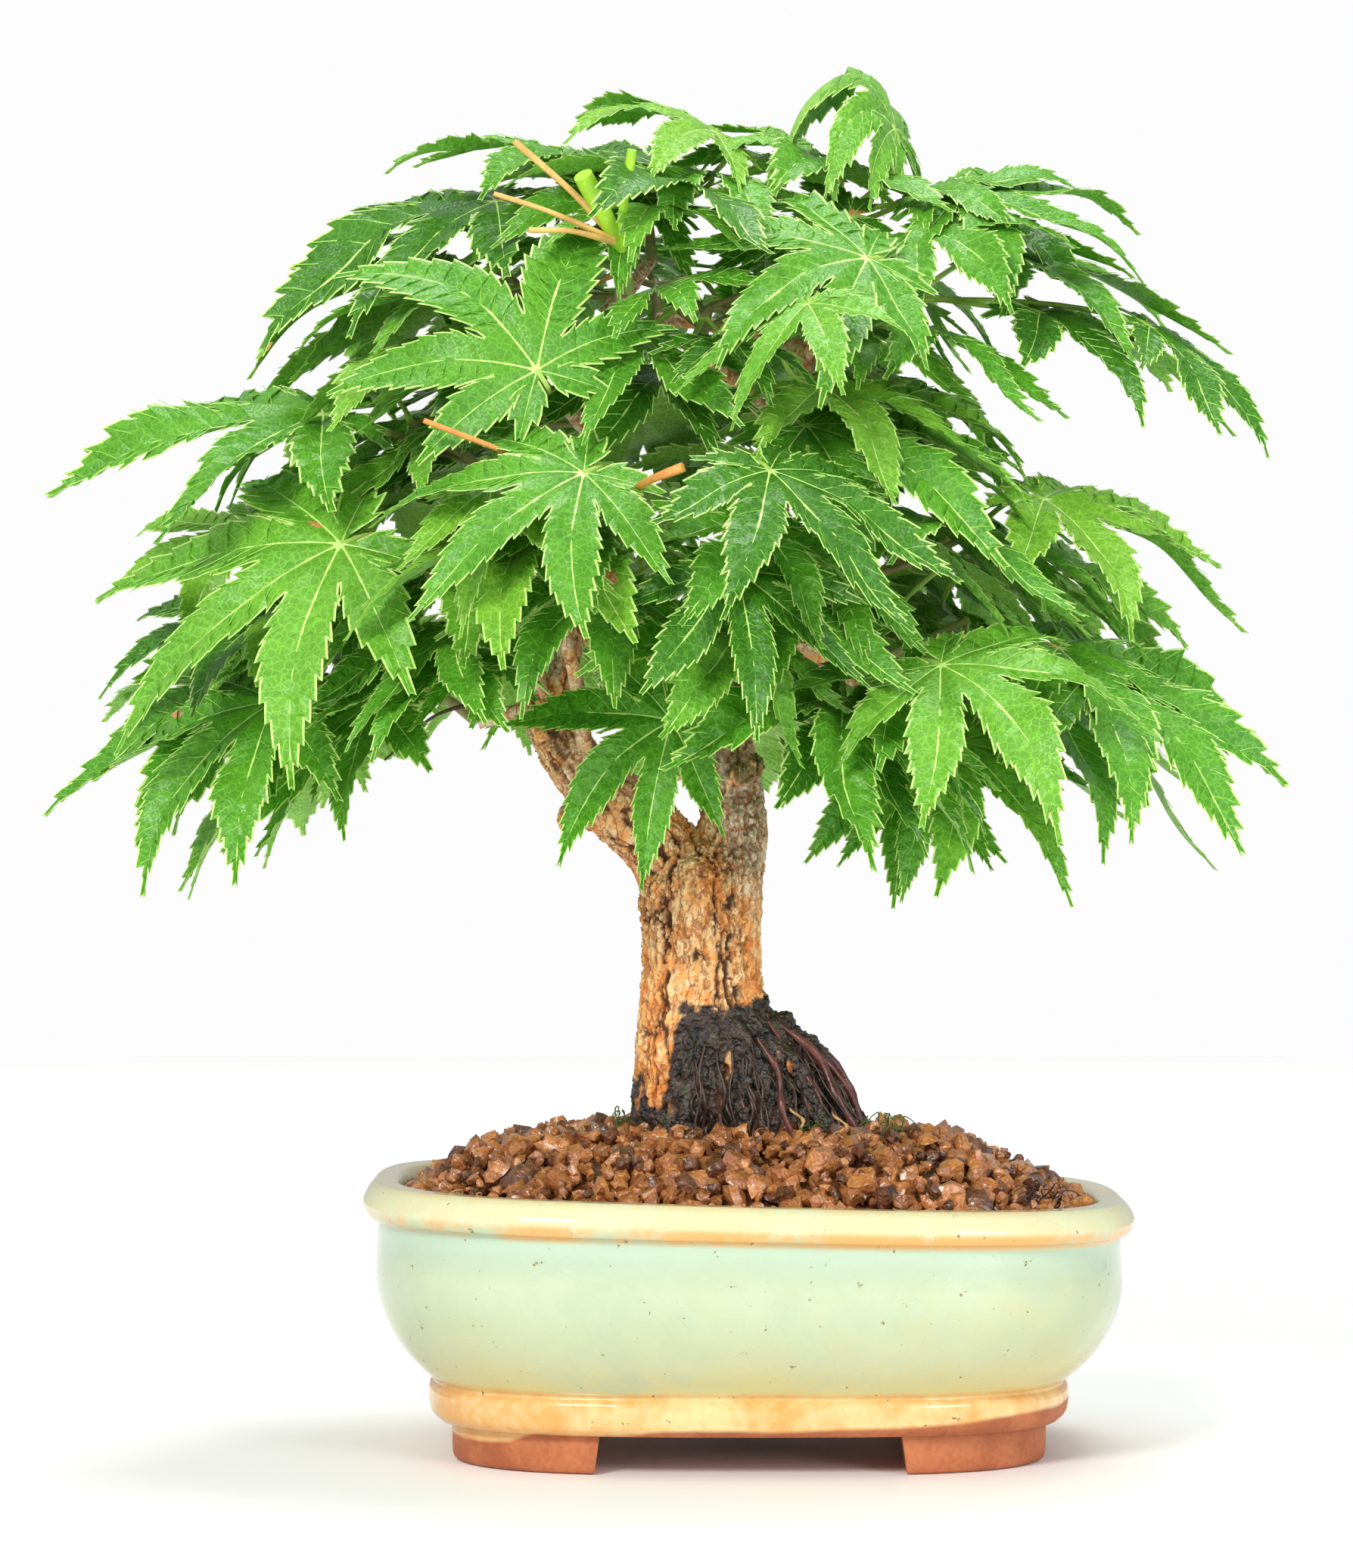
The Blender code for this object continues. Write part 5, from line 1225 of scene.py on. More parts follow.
def make_crown(masses):
    """Blades, ribs and side veins, a piece of each for each part of the crown, then all stalks and all twigs."""
    patterns = [leaf_pattern(seed, teeth, shape) for seed, teeth, shape in
                ((1, 8, TOOTH), (2, 10, FINE_TOOTH), (3, 8, TOOTH), (6, 10, FINE_TOOTH))]
    small_patterns = [leaf_pattern(seed, 7, PLAIN_TOOTH) for seed in (4, 5)]
    rng = random.Random(77)
    greens, tans, twigs = [], [], []
    grown = {mass.name: mass for mass in masses}
    for region, names in REGIONS.items():
        blades, kinds, ribs, veins = [], [], [], []
        for name in names:
            mass = grown[name]
            every = [(*grower, patterns, 1.0) for grower in mass.leaves]
            every += [(*grower, small_patterns, SMALL_STALK) for grower in mass.small]
            for start, leaf, choice, stoutness in every:
                pattern = rng.choice(choice)
                open_sky = in_sky(leaf_tips(leaf)).any() and name == SKY_MASS
                leaf, habit = dressed(rng, leaf, pattern, open_sky)
                places, skins, rib_parts, vein_parts = pattern
                tint = rng.choices(range(4), TINTS[region])[0]
                blades.append((bent(leaf, places, habit), skins))
                kinds += [spotted(rng, places, skins[0], tint), np.full(len(skins[1]), EDGE_KIND),
                          np.full(len(skins[2]), UNDER_KIND)]
                ribs.append((bent(leaf, rib_parts[0], habit), rib_parts[1]))
                veins.append((bent(leaf, vein_parts[0], habit), vein_parts[1]))
                line = np.vstack([stalk_line(start, leaf, 9), leaf[0]])
                radii = np.interp(np.linspace(0, 1, 10), (0, 0.08, 0.3, 1), STALK_RADII) * stoutness
                (tans if rng.random() < TAN_SHARE else greens).append(tube(line, radii, 6))
            stem = curve_through(mass.line, 9)
            twigs.append(tube(stem, np.interp(np.linspace(0, 1, 9), (0, 0.5, 1), TWIG_RADII), 8))
            twigs += [tube(curve_through(shoot, 4), np.array(SHOOT_RADII), 6) for shoot in mass.shoots]
        solids = ["leaves_" + name for name in names]
        for kind, parts, finishes, stands_for in (("blades", blades, [*UPPER, EDGE, UNDER, DRY], solids),
                                                  ("ribs", ribs, [VEIN], ()), ("veins", veins, [FINE_VEIN], ())):
            add_piece(f"{kind}_{region}", *gather(parts), finishes, "foliage", stands_for,
                      kinds=np.concatenate(kinds) if kind == "blades" else None, sharp=32)
    for name, parts, finish in (("stalks_green", greens, STALK_GREEN), ("stalks_tan", tans, STALK_TAN),
                                ("twigs", twigs, TWIG)):
        add_piece(name, *gather(parts), [finish], "foliage", sharp=60)


def make_branches():
    """The branches to the masses: tapering tubes, thicker at their root and knotted where leaves once grew."""
    parts, steps, sides = [], 22, 12
    for k, row in enumerate(MASSES.values()):
        line = curve_through(branch_points(row), steps)
        share = np.linspace(0, 1, steps)
        radii = np.interp(share, (0, 0.12, 1), (1.35 * BRANCH_RADII[0], BRANCH_RADII[0], BRANCH_RADII[1]))
        radii = radii * (1 + 0.16 * np.exp(-(((share * 4 + 0.37 * k) % 1.0 - 0.5) / 0.12) ** 2))
        flat = tube_rings(line, radii, sides).reshape(-1, 3)
        middle = np.repeat(line, sides, axis=0)
        flat = middle + (flat - middle) * (1 + 0.22 * rugged(flat * 900, 31)[:, None])
        parts.append(closed_rings(flat.reshape(steps, sides, 3)))
    points, faces = gather(parts)
    pale = ease(rolling(points * 260, 12), 0.35, 0.65) * 0.75
    # streaks drawn as cracks, darkest in their middle as painted shade, as on the trunk
    crack = ease(rugged(points * np.array([900, 900, 300]), 17), 0.12, 0.3) * 0.6
    add_piece("branches", points, faces, [BARK], "bark", ["branch_" + name for name in MASSES],
              marks={"pale": pale, "crack": crack}, sharp=60)


# ---------- trunk

VOXEL = 0.00042  # the size of the even skin's faces
FOOT_SINK = 0.0022  # the visual trunk stands this far down among the grains
STUB = ((-0.004, -0.001, 0.13), (0.001, -0.009, 0.133), (0.0012, -0.0118, 0.135))  # of a dead shoot
# the upper edge of the wet, matted foot, from the trunk's left side to its right
DAMP_X = (-0.024, -0.0212, -0.0192, -0.016, -0.0146, -0.013, 0.004, 0.006)
DAMP_Z = (0.0735, 0.073, 0.0675, 0.069, 0.082, 0.0868, 0.0875, 0.095)
# how high a bark plate stands, how deep its long and short cracks and its flakes' edges go, and how high its grain is
PLATE_LIFT, LONG_DEEP, SHORT_DEEP, FLAKE_DEEP, GRAIN_LIFT = 0.0005, 0.00125, 0.0006, 0.00035, 0.0002
SWELL_LIFT = 0.0006  # the slow swell of the whole skin
# the size of the bark's cells across and along a limb: plates, the smaller ones in them, flakes, and reddish patches
PLATE_SIZE, SHORT_SIZE, FLAKE_SIZE, WARM_SIZE = (0.0024, 0.02), (0.0014, 0.006), (0.0017, 0.0046), (0.0022, 0.018)


def limb_frame(points):
    """For each point: the nearest limb's number, how far along it, and the place across it in the limb's own
    frame, found on the limbs' middle lines."""
    lines = [np.array([(TRUNK_X, 0, 0.055), (TRUNK_X, 0, 0.113)])]
    lines += [curve_through(row[1], 9) for row in LIMBS.values()]
    best = np.full(len(points), 9.0)
    which, along = np.zeros(len(points), int), np.zeros(len(points))
    way = np.zeros((len(points), 3))
    away = np.zeros((len(points), 3))
    for number, line in enumerate(lines):
        radius = 0.012 if number == 0 else LIMBS[list(LIMBS)[number - 1]][2]
        done = 0.0
        for a, b in zip(line, line[1:]):
            reach = np.linalg.norm(b - a)
            t = np.clip((points - a) @ (b - a) / reach**2, 0, 1)
            off = points - a - t[:, None] * (b - a)
            far = np.linalg.norm(off, axis=1) / radius
            near = far < best
            best = np.where(near, far, best)
            which[near], along[near] = number, (done + t * reach)[near]
            way[near], away[near] = (b - a) / reach, off[near]
            done += reach
    side = unit(np.cross(way, np.array([0.05, 1.0, 0.1])))
    other = np.cross(way, side)
    across = np.stack([(away * side).sum(1), (away * other).sum(1)], axis=1)
    return which, along, across


def fissure(place, seed, wide):
    """1 along winding lines, falling to 0 beside them: the lines where smooth noise passes its middle value."""
    wave = np.abs(rolling(place, seed) - 0.5 + 0.3 * rugged(place * 2.3, seed + 5, 2))
    return 1 - ease(wave, 0.0, wide)


def root_ridge(way, height, size, wander):
    """A surface root as a tube that follows the flare and wanders a little."""
    line = curve_through(root_points(way, height), 26)
    t = np.linspace(0, 1, 26)
    line[:, 1] += 0.0012 * wander * np.sin(3.0 * t + wander)
    line[:, 0] += 0.0008 * np.sin(5.0 * t + 2 * wander)
    line[-1] += (0.001, 0, -0.002)
    return tube_rings(line, size * np.interp(t, (0, 0.2, 1), (0.5, 0.85, 1.0)), 10)


def smooth_trunk():
    """Trunk rings close together, through the same sizes as the solid's, from under the grains to the fork."""
    rows = np.array(TRUNK)
    keys = np.vstack([(rows[0, 0] - FOOT_SINK, rows[0, 1] * 1.02, rows[0, 2] * 1.06), rows])
    heights = np.linspace(keys[0, 0], keys[-1, 0], 70)
    rings = []
    for height in heights:
        radius, flare = np.interp(height, keys[:, 0], keys[:, 1]), np.interp(height, keys[:, 0], keys[:, 2])
        flare *= 1 - 0.16 * math.sin(math.pi * np.interp(height, (0.062, 0.0845), (0, 1)))  # the roots stand on it
        rings.append(trunk_ring(height, radius, flare, 96))
    return closed_rings(np.array(rings))


def remeshed(parts, voxel):
    """Overlapping closed parts as one even skin: its points, faces and normals."""
    points, faces = gather(parts)
    mesh = bpy.data.meshes.new("rough")
    mesh.from_pydata(points, [], [tuple(face) for group in faces for face in group.tolist()])
    thing = bpy.data.objects.new("rough", mesh)
    bpy.context.scene.collection.objects.link(thing)
    change = thing.modifiers.new("even", "REMESH")
    change.mode = "VOXEL"
    change.voxel_size = voxel
    soften = thing.modifiers.new("soften", "SMOOTH")
    soften.factor, soften.iterations = 0.5, 4
    seen = thing.evaluated_get(bpy.context.evaluated_depsgraph_get()).data
    points, normals = np.empty(len(seen.vertices) * 3), np.empty(len(seen.vertices) * 3, np.float32)
    seen.vertices.foreach_get("co", points)
    seen.vertex_normals.foreach_get("vector", normals)
    corners = np.empty(len(seen.loops), np.int32)
    seen.loops.foreach_get("vertex_index", corners)
    bpy.data.objects.remove(thing)
    return points.reshape(-1, 3), corners.reshape(-1, 4), normals.reshape(-1, 3).astype(float)


def trunk_parts():
    """The smooth trunk, the boughs and risers as swelling tubes, the healed knob as two small balls, the surface
    roots, and a dead stub: closed parts that overlap."""
    parts = [smooth_trunk()]
    for name, (_, points, start, end) in LIMBS.items():
        line, radii = limb_line(points, start, end, 33)
        share = np.linspace(0, 1, 33)
        radii = radii * (1 + 0.06 * np.sin(9 * share + len(name)) * np.sin(math.pi * share))
        if name == "bough_left":
            line[:, 1] += 0.0012 * np.sin(math.pi * share)
        parts.append(tube(line, radii, 28))
    knob = np.array(KNOB[0])
    for centre, radius in ((knob, KNOB[1]), (knob + (0.0022, -0.001, 0.0015), 0.0026)):
        slope = np.linspace(-0.45, 0.45, 9) * math.pi
        line = centre + np.outer(np.sin(slope) * radius, (0.0, 0.0, 1.0))
        parts.append(tube(line, radius * np.cos(slope), 14))
    for k, (way, height, size) in enumerate(ROOTS):
        parts.append(closed_rings(root_ridge(way, height, size, (-1) ** k * (0.6 + 0.2 * k))))
    parts.append(tube(curve_through(STUB, 9), np.linspace(0.0022, 0.0015, 9), 12))
    return parts


def make_trunk():
    """Trunk, roots and boughs as one skin, moved along its normals by a sum of noises: plates long in the way of
    each limb with deep cracks between them, finer flakes on them, and a wet, matted foot."""
    points, quads, normals = remeshed(trunk_parts(), VOXEL)
    which, along, across = limb_frame(points)
    warp = np.column_stack([rugged(points * 300, seed) for seed in (41, 42, 43)])
    shift = which[:, None] * np.array([11.3, 4.1, 7.7])
    place, fine_place, flake_place, warm_place = (
        np.column_stack([across / wide, along / tall]) + shift
        for wide, tall in (PLATE_SIZE, SHORT_SIZE, FLAKE_SIZE, WARM_SIZE))
    long_crack, short_crack = fissure(place + 0.6 * warp, 3, 0.12), fissure(fine_place + 1.1 * warp, 8, 0.1)
    gap, own = plates(flake_place + 0.8 * warp, 5)
    flake_edge = 1 - ease(gap, 0.02, 0.16)
    low, high = points[:, 2], ease(points[:, 2], 0.118, 0.15)
    size = np.where(which >= 3, 0.35, np.where(which >= 1, 0.72, 1.0))
    jag = 0.003 * rugged(points * np.array([260, 260, 130]), 51) + 0.0034 * rugged(points * 800, 52)
    rise = np.interp(points[:, 0], DAMP_X, DAMP_Z)
    damp = ease(rise + jag - low, -0.0004, 0.0007)
    bare = ease(rolling(points * np.array([520, 520, 120]), 53), 0.76, 0.84) * ease(low, 0.064, 0.07)
    damp = damp * (1 - 0.9 * bare * (low < 0.078))
    grain = rugged(points * np.array([1500, 1500, 700]), 54)
    lift = size * (PLATE_LIFT * own - LONG_DEEP * long_crack - SHORT_DEEP * short_crack - FLAKE_DEEP * flake_edge)
    lift = lift + GRAIN_LIFT * grain
    matted = 0.0014 * rugged(points * 430, 55) + 0.0009 * rugged(points * 1300, 56)
    lift = lift * (1 - 0.65 * damp) + matted * damp + SWELL_LIFT * rugged(points * 130, 57)
    lift = lift * ease(low, SEAT_HEIGHT - 0.004, SEAT_HEIGHT)
    moved = points + normals * lift[:, None]
    patchy = rolling(points * np.array([150, 150, 75]), 58) + 0.3 * rugged(points * 700, 59)
    right = ease(points[:, 0] + 0.3 * (low - 0.105), -0.0035, 0.0015)
    pale = ease(patchy, 0.34, 0.56) * ease(low, 0.103, 0.118) * np.maximum(right, high)
    pale = np.maximum(pale, 0.9 * ease(low, 0.128, 0.146) * ease(patchy, 0.22, 0.48))
    smudge = np.exp(-(((points - (0.0005, -0.01, 0.1325)) / (0.0045, 0.01, 0.0055)) ** 2).sum(1))
    moss = ease(rolling(points * 900, 60), 0.8, 0.9) * damp * 0.7
    moss = np.maximum(moss, ease(smudge * (0.6 + rolling(points * 800, 61)), 0.5, 0.8) * 0.75)
    # how deep in a crack or at a flake's edge: the bark darkens with it, partly the inner bark's colour and partly
    # painted shade
    crack = np.maximum(0.95 * ease(long_crack, 0.22, 0.7), 0.7 * ease(short_crack, 0.5, 0.9))
    crack = np.maximum(crack, 0.4 * ease(flake_edge, 0.5, 1.0)) * (1 - 0.35 * pale)
    warm = np.maximum(ease(rugged(warm_place, 63), 0.02, 0.22), 1.0 - ease(low, 0.074, 0.078))
    add_piece("trunk_and_boughs", moved, [quads], [BARK], "bark", ["trunk", *LIMBS],
              marks={"crack": crack, "damp": damp, "pale": pale, "moss": moss, "warm": warm * (1 - pale)})


# bare roots down the flare: (way, start height, radius)
STRANDS = ((-60, 0.0745, 0.00045), (-43, 0.0805, 0.0007), (-29, 0.0836, 0.00055), (-17, 0.0848, 0.00095),
           (-8, 0.0852, 0.0006), (2, 0.0853, 0.0009), (14, 0.0845, 0.00055), (28, 0.083, 0.0008),
           (46, 0.08, 0.0006))


def strand(rng, way, height, size, wind):
    """A bare root lying down the flare, winding by that much, thickest in its middle."""
    line = curve_through(root_points(way, height), 22)
    t = np.linspace(0, 1, 22)
    out = unit(np.array([math.cos(math.radians(way)), math.sin(math.radians(way)), 0.6]))
    line = line + out * (0.001 + 0.5 * size) * np.sin(math.pi * np.clip(t, 0.03, 0.97))[:, None]
    turn = rng.uniform(0, 6.3)
    line[:, 1] += wind * t * np.sin(2.5 * t + turn) + 0.0005 * np.sin(14 * t + turn)
    line[:, 0] += 0.0006 * np.sin(11 * t + 1.7 * turn)
    knotted = 1 + 0.2 * np.sin(23 * t + turn) + 0.14 * np.sin(41 * t)
    return tube(line, size * knotted * np.interp(t, (0, 0.3, 1), (0.55, 1.0, 0.85)), 8)


def make_rootlets():
    """Bare roots down the flare, finer ones matted between them, and a few pale ones at its foot."""
    rng = random.Random(21)
    thick = [strand(rng, way, height, size, rng.uniform(-0.0034, 0.0034)) for way, height, size in STRANDS]
    fine = [strand(rng, rng.uniform(-95, 62), rng.uniform(0.067, 0.084), rng.choice((0.0002, 0.00028, 0.00038)),
                   rng.uniform(-0.005, 0.005)) for _ in range(70)]
    pale = [strand(rng, rng.uniform(-40, 40), rng.uniform(0.064, 0.072), rng.uniform(0.00025, 0.0004),
                   rng.uniform(-0.006, 0.006)) for _ in range(8)]
    for name, parts, finish in (("bare_roots", thick, ROOT_SKIN), ("matted_roots", fine, DARK_ROOT),
                                ("pale_roots", pale, PALE_ROOT)):
        add_piece(name, *gather(parts), [finish], "bark", sharp=60)


# ---------- pot

# (height, how far the wall stands in from the lip's outer edge), the solid's own sizes
POT_OUTSIDE = (
    (0.0074, 0.0145), (0.0092, 0.013), (0.0132, 0.0126), (0.0146, 0.0137), (0.016, 0.0122), (0.0205, 0.0078),
    (0.0265, 0.0042), (0.0335, 0.0024), (0.0438, 0.0026), (0.0454, 0.0008), (0.048, 0.0), (0.0515, 0.0026),
)
POT_INSIDE = ((0.0512, 0.0068), (0.042, 0.0088), (0.026, 0.011), (0.017, 0.016), (0.0125, 0.023))
FOOT_INSET = 0.0165
FOOT_THICK = 0.012
FOOT_SPAN = (0.029, 0.024)
FOOT_HEIGHT = 0.0074
PLAN_STEPS = 200
THROWN = (0.00028, 0.0001, 0.0001)  # how uneven the wall is: slow waves, quick waves, and the most it stands proud


def even_turns():
    """Turns whose places on the lip's outline are evenly spaced, read back from the length run along it."""
    turn = np.linspace(0, 2 * math.pi, 20001)
    x, y = plan_place(turn, 0.0)
    run = np.concatenate([[0], np.cumsum(np.hypot(np.diff(x), np.diff(y)))])
    return np.interp(np.arange(PLAN_STEPS) / PLAN_STEPS * run[-1], run, turn)


def plan_place(turn, inset):
    """The pot's outline seen from above: a superellipse, set in from the lip's."""
    x = (RIM_HALF[0] - inset) * np.sign(np.cos(turn)) * np.abs(np.cos(turn)) ** (2 / PLAN_POWER)
    y = (RIM_HALF[1] - inset) * np.sign(np.sin(turn)) * np.abs(np.sin(turn)) ** (2 / PLAN_POWER)
    return x, y


def dipped(x, height):
    """The upper part of the pot dips to the right with its rim."""
    share = np.clip((height - WALL_FLOOR) / (RIM_HEIGHT - WALL_FLOOR), 0, 1)
    return height - RIM_DIP * x * share


def wall(profile, turns):
    """Rings of the wall: the outline carried along a profile of (height, inset), and each ring's upright height."""
    heights, insets = np.asarray(profile)[:, 0][:, None], np.asarray(profile)[:, 1][:, None]
    x, y = plan_place(turns[None, :], insets)
    return np.stack([x, y, dipped(x, heights)], axis=-1), np.broadcast_to(heights, x.shape)


def foot_rings(side_x, side_y):
    """One bracket foot: a rounded section carried round the pot's corner, between ends that slope outwards."""
    a, b, c = FOOT_INSET, FOOT_INSET + FOOT_THICK, FOOT_HEIGHT + 0.001
    section = np.array([(a + 0.0008, 0.0), (a + 0.0003, 0.0005), (a, 0.0016), (a, 0.0045), (a, c), (b, c),
                        (b, 0.0045), (b, 0.0012), (b - 0.0005, 0.0003), (b - 0.0012, 0.0), ((a + b) / 2, 0.0)])
    inset, height = section[:, 0][None, :], section[:, 1][None, :]
    half_x, half_y = RIM_HALF[0] - inset, RIM_HALF[1] - inset
    slope = 0.0028 * height / 0.02
    from_x = RIM_HALF[0] - FOOT_INSET - FOOT_SPAN[0] - slope
    from_y = RIM_HALF[1] - FOOT_INSET - FOOT_SPAN[1] - slope
    first = np.arcsin(np.clip(from_y / half_y, 0, 1) ** (PLAN_POWER / 2))
    last = np.arccos(np.clip(from_x / half_x, 0, 1) ** (PLAN_POWER / 2))
    turn = first + (last - first) * np.linspace(0, 1, 40)[:, None]
    x, y = plan_place(turn, inset)
    rings = np.stack([side_x * x, side_y * y, np.broadcast_to(height, x.shape)], axis=-1)
    return rings if side_x * side_y < 0 else rings[:, ::-1]


def make_pot():
    """The glazed wall with its rolled lip and stepped foot, a smooth profile carried round the superellipse and
    thrown a little unevenly, and the four feet."""
    turns = even_turns()
    fine = curve_through(np.array(POT_OUTSIDE + POT_INSIDE), 110)
    fine[:, 0] = np.clip(fine[:, 0], POT_OUTSIDE[0][0], RIM_HEIGHT)
    inward = np.linspace(0.06, 0.001, 6)
    under = np.column_stack([np.full(6, POT_OUTSIDE[0][0]), inward + POT_OUTSIDE[0][1] - 0.001])
    rings, height = wall(np.vstack([under[:-1], fine]), turns)
    flat = rings.reshape(-1, 3)
    centre = np.array([0.0, 0.0, 0.03])
    free = ease(flat[:, 2], 0.009, 0.014)
    wobble = THROWN[0] * rugged(flat * 45, 71) + THROWN[1] * rugged(flat * 220, 72)
    flat = flat + unit(flat - centre) * (np.minimum(wobble, THROWN[2]) * free)[:, None]
    parts = [closed_rings(flat.reshape(rings.shape))]
    marks = [np.append(height.reshape(-1), POT_OUTSIDE[0][0] * np.ones(2)) / RIM_HEIGHT]
    for side_x, side_y in product((-1, 1), repeat=2):
        parts.append(closed_rings(foot_rings(side_x, side_y)))
        marks.append(parts[-1][0][:, 2] / RIM_HEIGHT)
    add_piece("glazed_pot", *gather(parts), [GLAZE], "glaze", ["pot"], marks={"level": np.concatenate(marks)},
              sharp=50)


# ---------- soil

SOIL_EDGE = 0.048  # the height of the soil at the wall
SEAT_CENTRE = (-0.003, -0.001)
SEAT_HALF = (0.032, 0.0225)
SLOPE_WIDE = 0.0295  # from the wall to the seat, and from there to its middle, about
BED_SINK = 0.0024  # the bed under the grains lies this far under the solid's top
GRAIN_SPACE = 0.003
GRAIN_RADII = (0.00105, 0.0019)  # of the smallest grain, and how much larger the largest is
UPPER_SHARE, UPPER_LIFT, UPPER_SIZE = 0.38, 0.0019, 0.85  # grains lying on others: how many, how high, how large
GRAIN_SHARES = (0.42, 0.38, 0.2)  # of the red, brown and dark ones
TRUNK_HOLE = (0.0135, 0.0118)  # half the width and depth of the place that the trunk takes up


def soil_place(turn, step):
    """A place on the heaped soil: from the wall, at step 0, up to the flat seat's edge, at step 1, and on to the
    seat's middle, at step 2, the height following a quarter sine."""
    x, y = plan_place(turn, POT_INSIDE[0][1] + 0.0022)
    edge = np.stack([x, y, dipped(x, SOIL_EDGE)], axis=-1)
    far = np.clip(2 - step, 0, 1)
    seat = np.stack([SEAT_CENTRE[0] + SEAT_HALF[0] * np.cos(turn) * far,
                     SEAT_CENTRE[1] + SEAT_HALF[1] * np.sin(turn) * far, np.full(np.shape(turn), SEAT_HEIGHT)],
                    axis=-1)
    part = np.clip(step, 0, 1)[..., None]
    place = edge + (seat - edge) * part
    place[..., 2] = edge[..., 2] + (seat[..., 2] - edge[..., 2]) * np.sin(part[..., 0] * math.pi / 2)
    return place


def make_bed():
    """The bed under the grains, which fills the pot from its floor: the wall's inner profile, then the heap's rings,
    made uneven by noise. It takes the darkest grit, as painted shade in the gaps between the grains."""
    turns = even_turns()[::2]
    wall_rows = [(z + GAP if z == WALL_FLOOR else z, inset + GAP) for z, inset in reversed(POT_INSIDE)
                 if z < SOIL_EDGE - GRAIN_SPACE]
    rings, _ = wall(wall_rows, turns)
    steps = np.concatenate([np.linspace(0, 1, 14), np.linspace(1.1, 1.98, 9)])
    top = np.stack([soil_place(turns, np.full(len(turns), step)) for step in steps])
    top[..., 2] -= BED_SINK
    top[..., 2] += 0.0009 * rugged(top.reshape(-1, 3) * 320, 81).reshape(top.shape[:2])
    points, faces = closed_rings(np.concatenate([rings, top]))
    # the darkest grit: painted shade in the gaps between grains
    add_piece("soil_bed", points, faces, [GRIT_DARK], "grit", ["soil"])


def lump():
    """A cube of 2 by 2 faces a side, pushed out to a ball: its places and faces."""
    steps = (-1, 0, 1)
    corners = [c for c in product(steps, repeat=3) if 1 in c or -1 in c]
    number = {corner: i for i, corner in enumerate(corners)}
    faces = []
    for axis in range(3):
        u, v = (axis + 1) % 3, (axis + 2) % 3
        for end, i, j in product((-1, 1), (-1, 0), (-1, 0)):
            quad = []
            for di, dj in ((0, 0), (1, 0), (1, 1), (0, 1)):
                corner = [0, 0, 0]
                corner[axis], corner[u], corner[v] = end, i + di, j + dj
                quad.append(number[tuple(corner)])
            faces.append(quad if end > 0 else quad[::-1])
    return unit(np.array(corners, float)), np.array(faces)


def make_grains():
    """Fired-clay grains bedded on the heap: lumps with knocked corners, each stretched and turned its own way."""
    rng = np.random.default_rng(9)
    ball, faces = lump()
    spots = []
    for step in np.arange(0.03, 1.97, GRAIN_SPACE / SLOPE_WIDE):
        ring = soil_place(np.linspace(0, 2 * math.pi, 400), np.full(400, step))
        around = np.linalg.norm(np.diff(ring, axis=0), axis=1)
        count = max(3, int(around.sum() / GRAIN_SPACE))
        run = np.concatenate([[0], np.cumsum(around)])
        goal = (np.arange(count) + rng.uniform(-0.32, 0.32, count)) / count * run[-1] + rng.uniform(0, 0.002)
        turn = np.interp(goal % run[-1], run, np.linspace(0, 2 * math.pi, 400))
        spots.append(soil_place(turn, step + rng.uniform(-0.03, 0.03, count)))
    spots = np.concatenate(spots)
    upper = spots[rng.random(len(spots)) < UPPER_SHARE] + (0, 0, UPPER_LIFT)
    upper[:, :2] += rng.uniform(-0.0012, 0.0012, (len(upper), 2))
    spots = np.concatenate([spots, upper])
    count = len(spots)
    radius = GRAIN_RADII[0] + GRAIN_RADII[1] * rng.random(count) ** 1.8
    radius[count - len(upper):] *= UPPER_SIZE
    spots[:, 2] += rng.uniform(-0.0006, 0.0003, count) - 0.0006
    shape = rng.uniform(0.68, 1.28, (count, 1, 3)) * radius[:, None, None]
    dent = 1 + rng.uniform(-0.36, 0.34, (count, len(ball), 1))
    spin = rng.normal(size=(count, 4))
    w, x, y, z = (unit(spin)[:, k] for k in range(4))
    turn = np.stack([1 - 2 * (y * y + z * z), 2 * (x * y - z * w), 2 * (x * z + y * w),
                     2 * (x * y + z * w), 1 - 2 * (x * x + z * z), 2 * (y * z - x * w),
                     2 * (x * z - y * w), 2 * (y * z + x * w), 1 - 2 * (x * x + y * y)], axis=-1).reshape(-1, 3, 3)
    grains = np.einsum("nij,nkj->nki", turn, ball[None] * shape * dent) + spots[:, None, :]
    grains = grains[np.hypot((spots[:, 0] - TRUNK_X) / TRUNK_HOLE[0], spots[:, 1] / TRUNK_HOLE[1]) > 0.8]
    kind = rng.choice(3, len(grains), p=GRAIN_SHARES)
    for number, finish in enumerate((GRIT_RED, GRIT_BROWN, GRIT_DARK)):
        mine = grains[kind == number]
        all_faces = (faces[None] + np.arange(len(mine))[:, None, None] * len(ball)).reshape(-1, 4)
        add_piece(f"grains_{finish.name[5:]}", mine.reshape(-1, 3), [all_faces], [finish], "grit", sharp=50)


# ---------- cut shoots and wisps

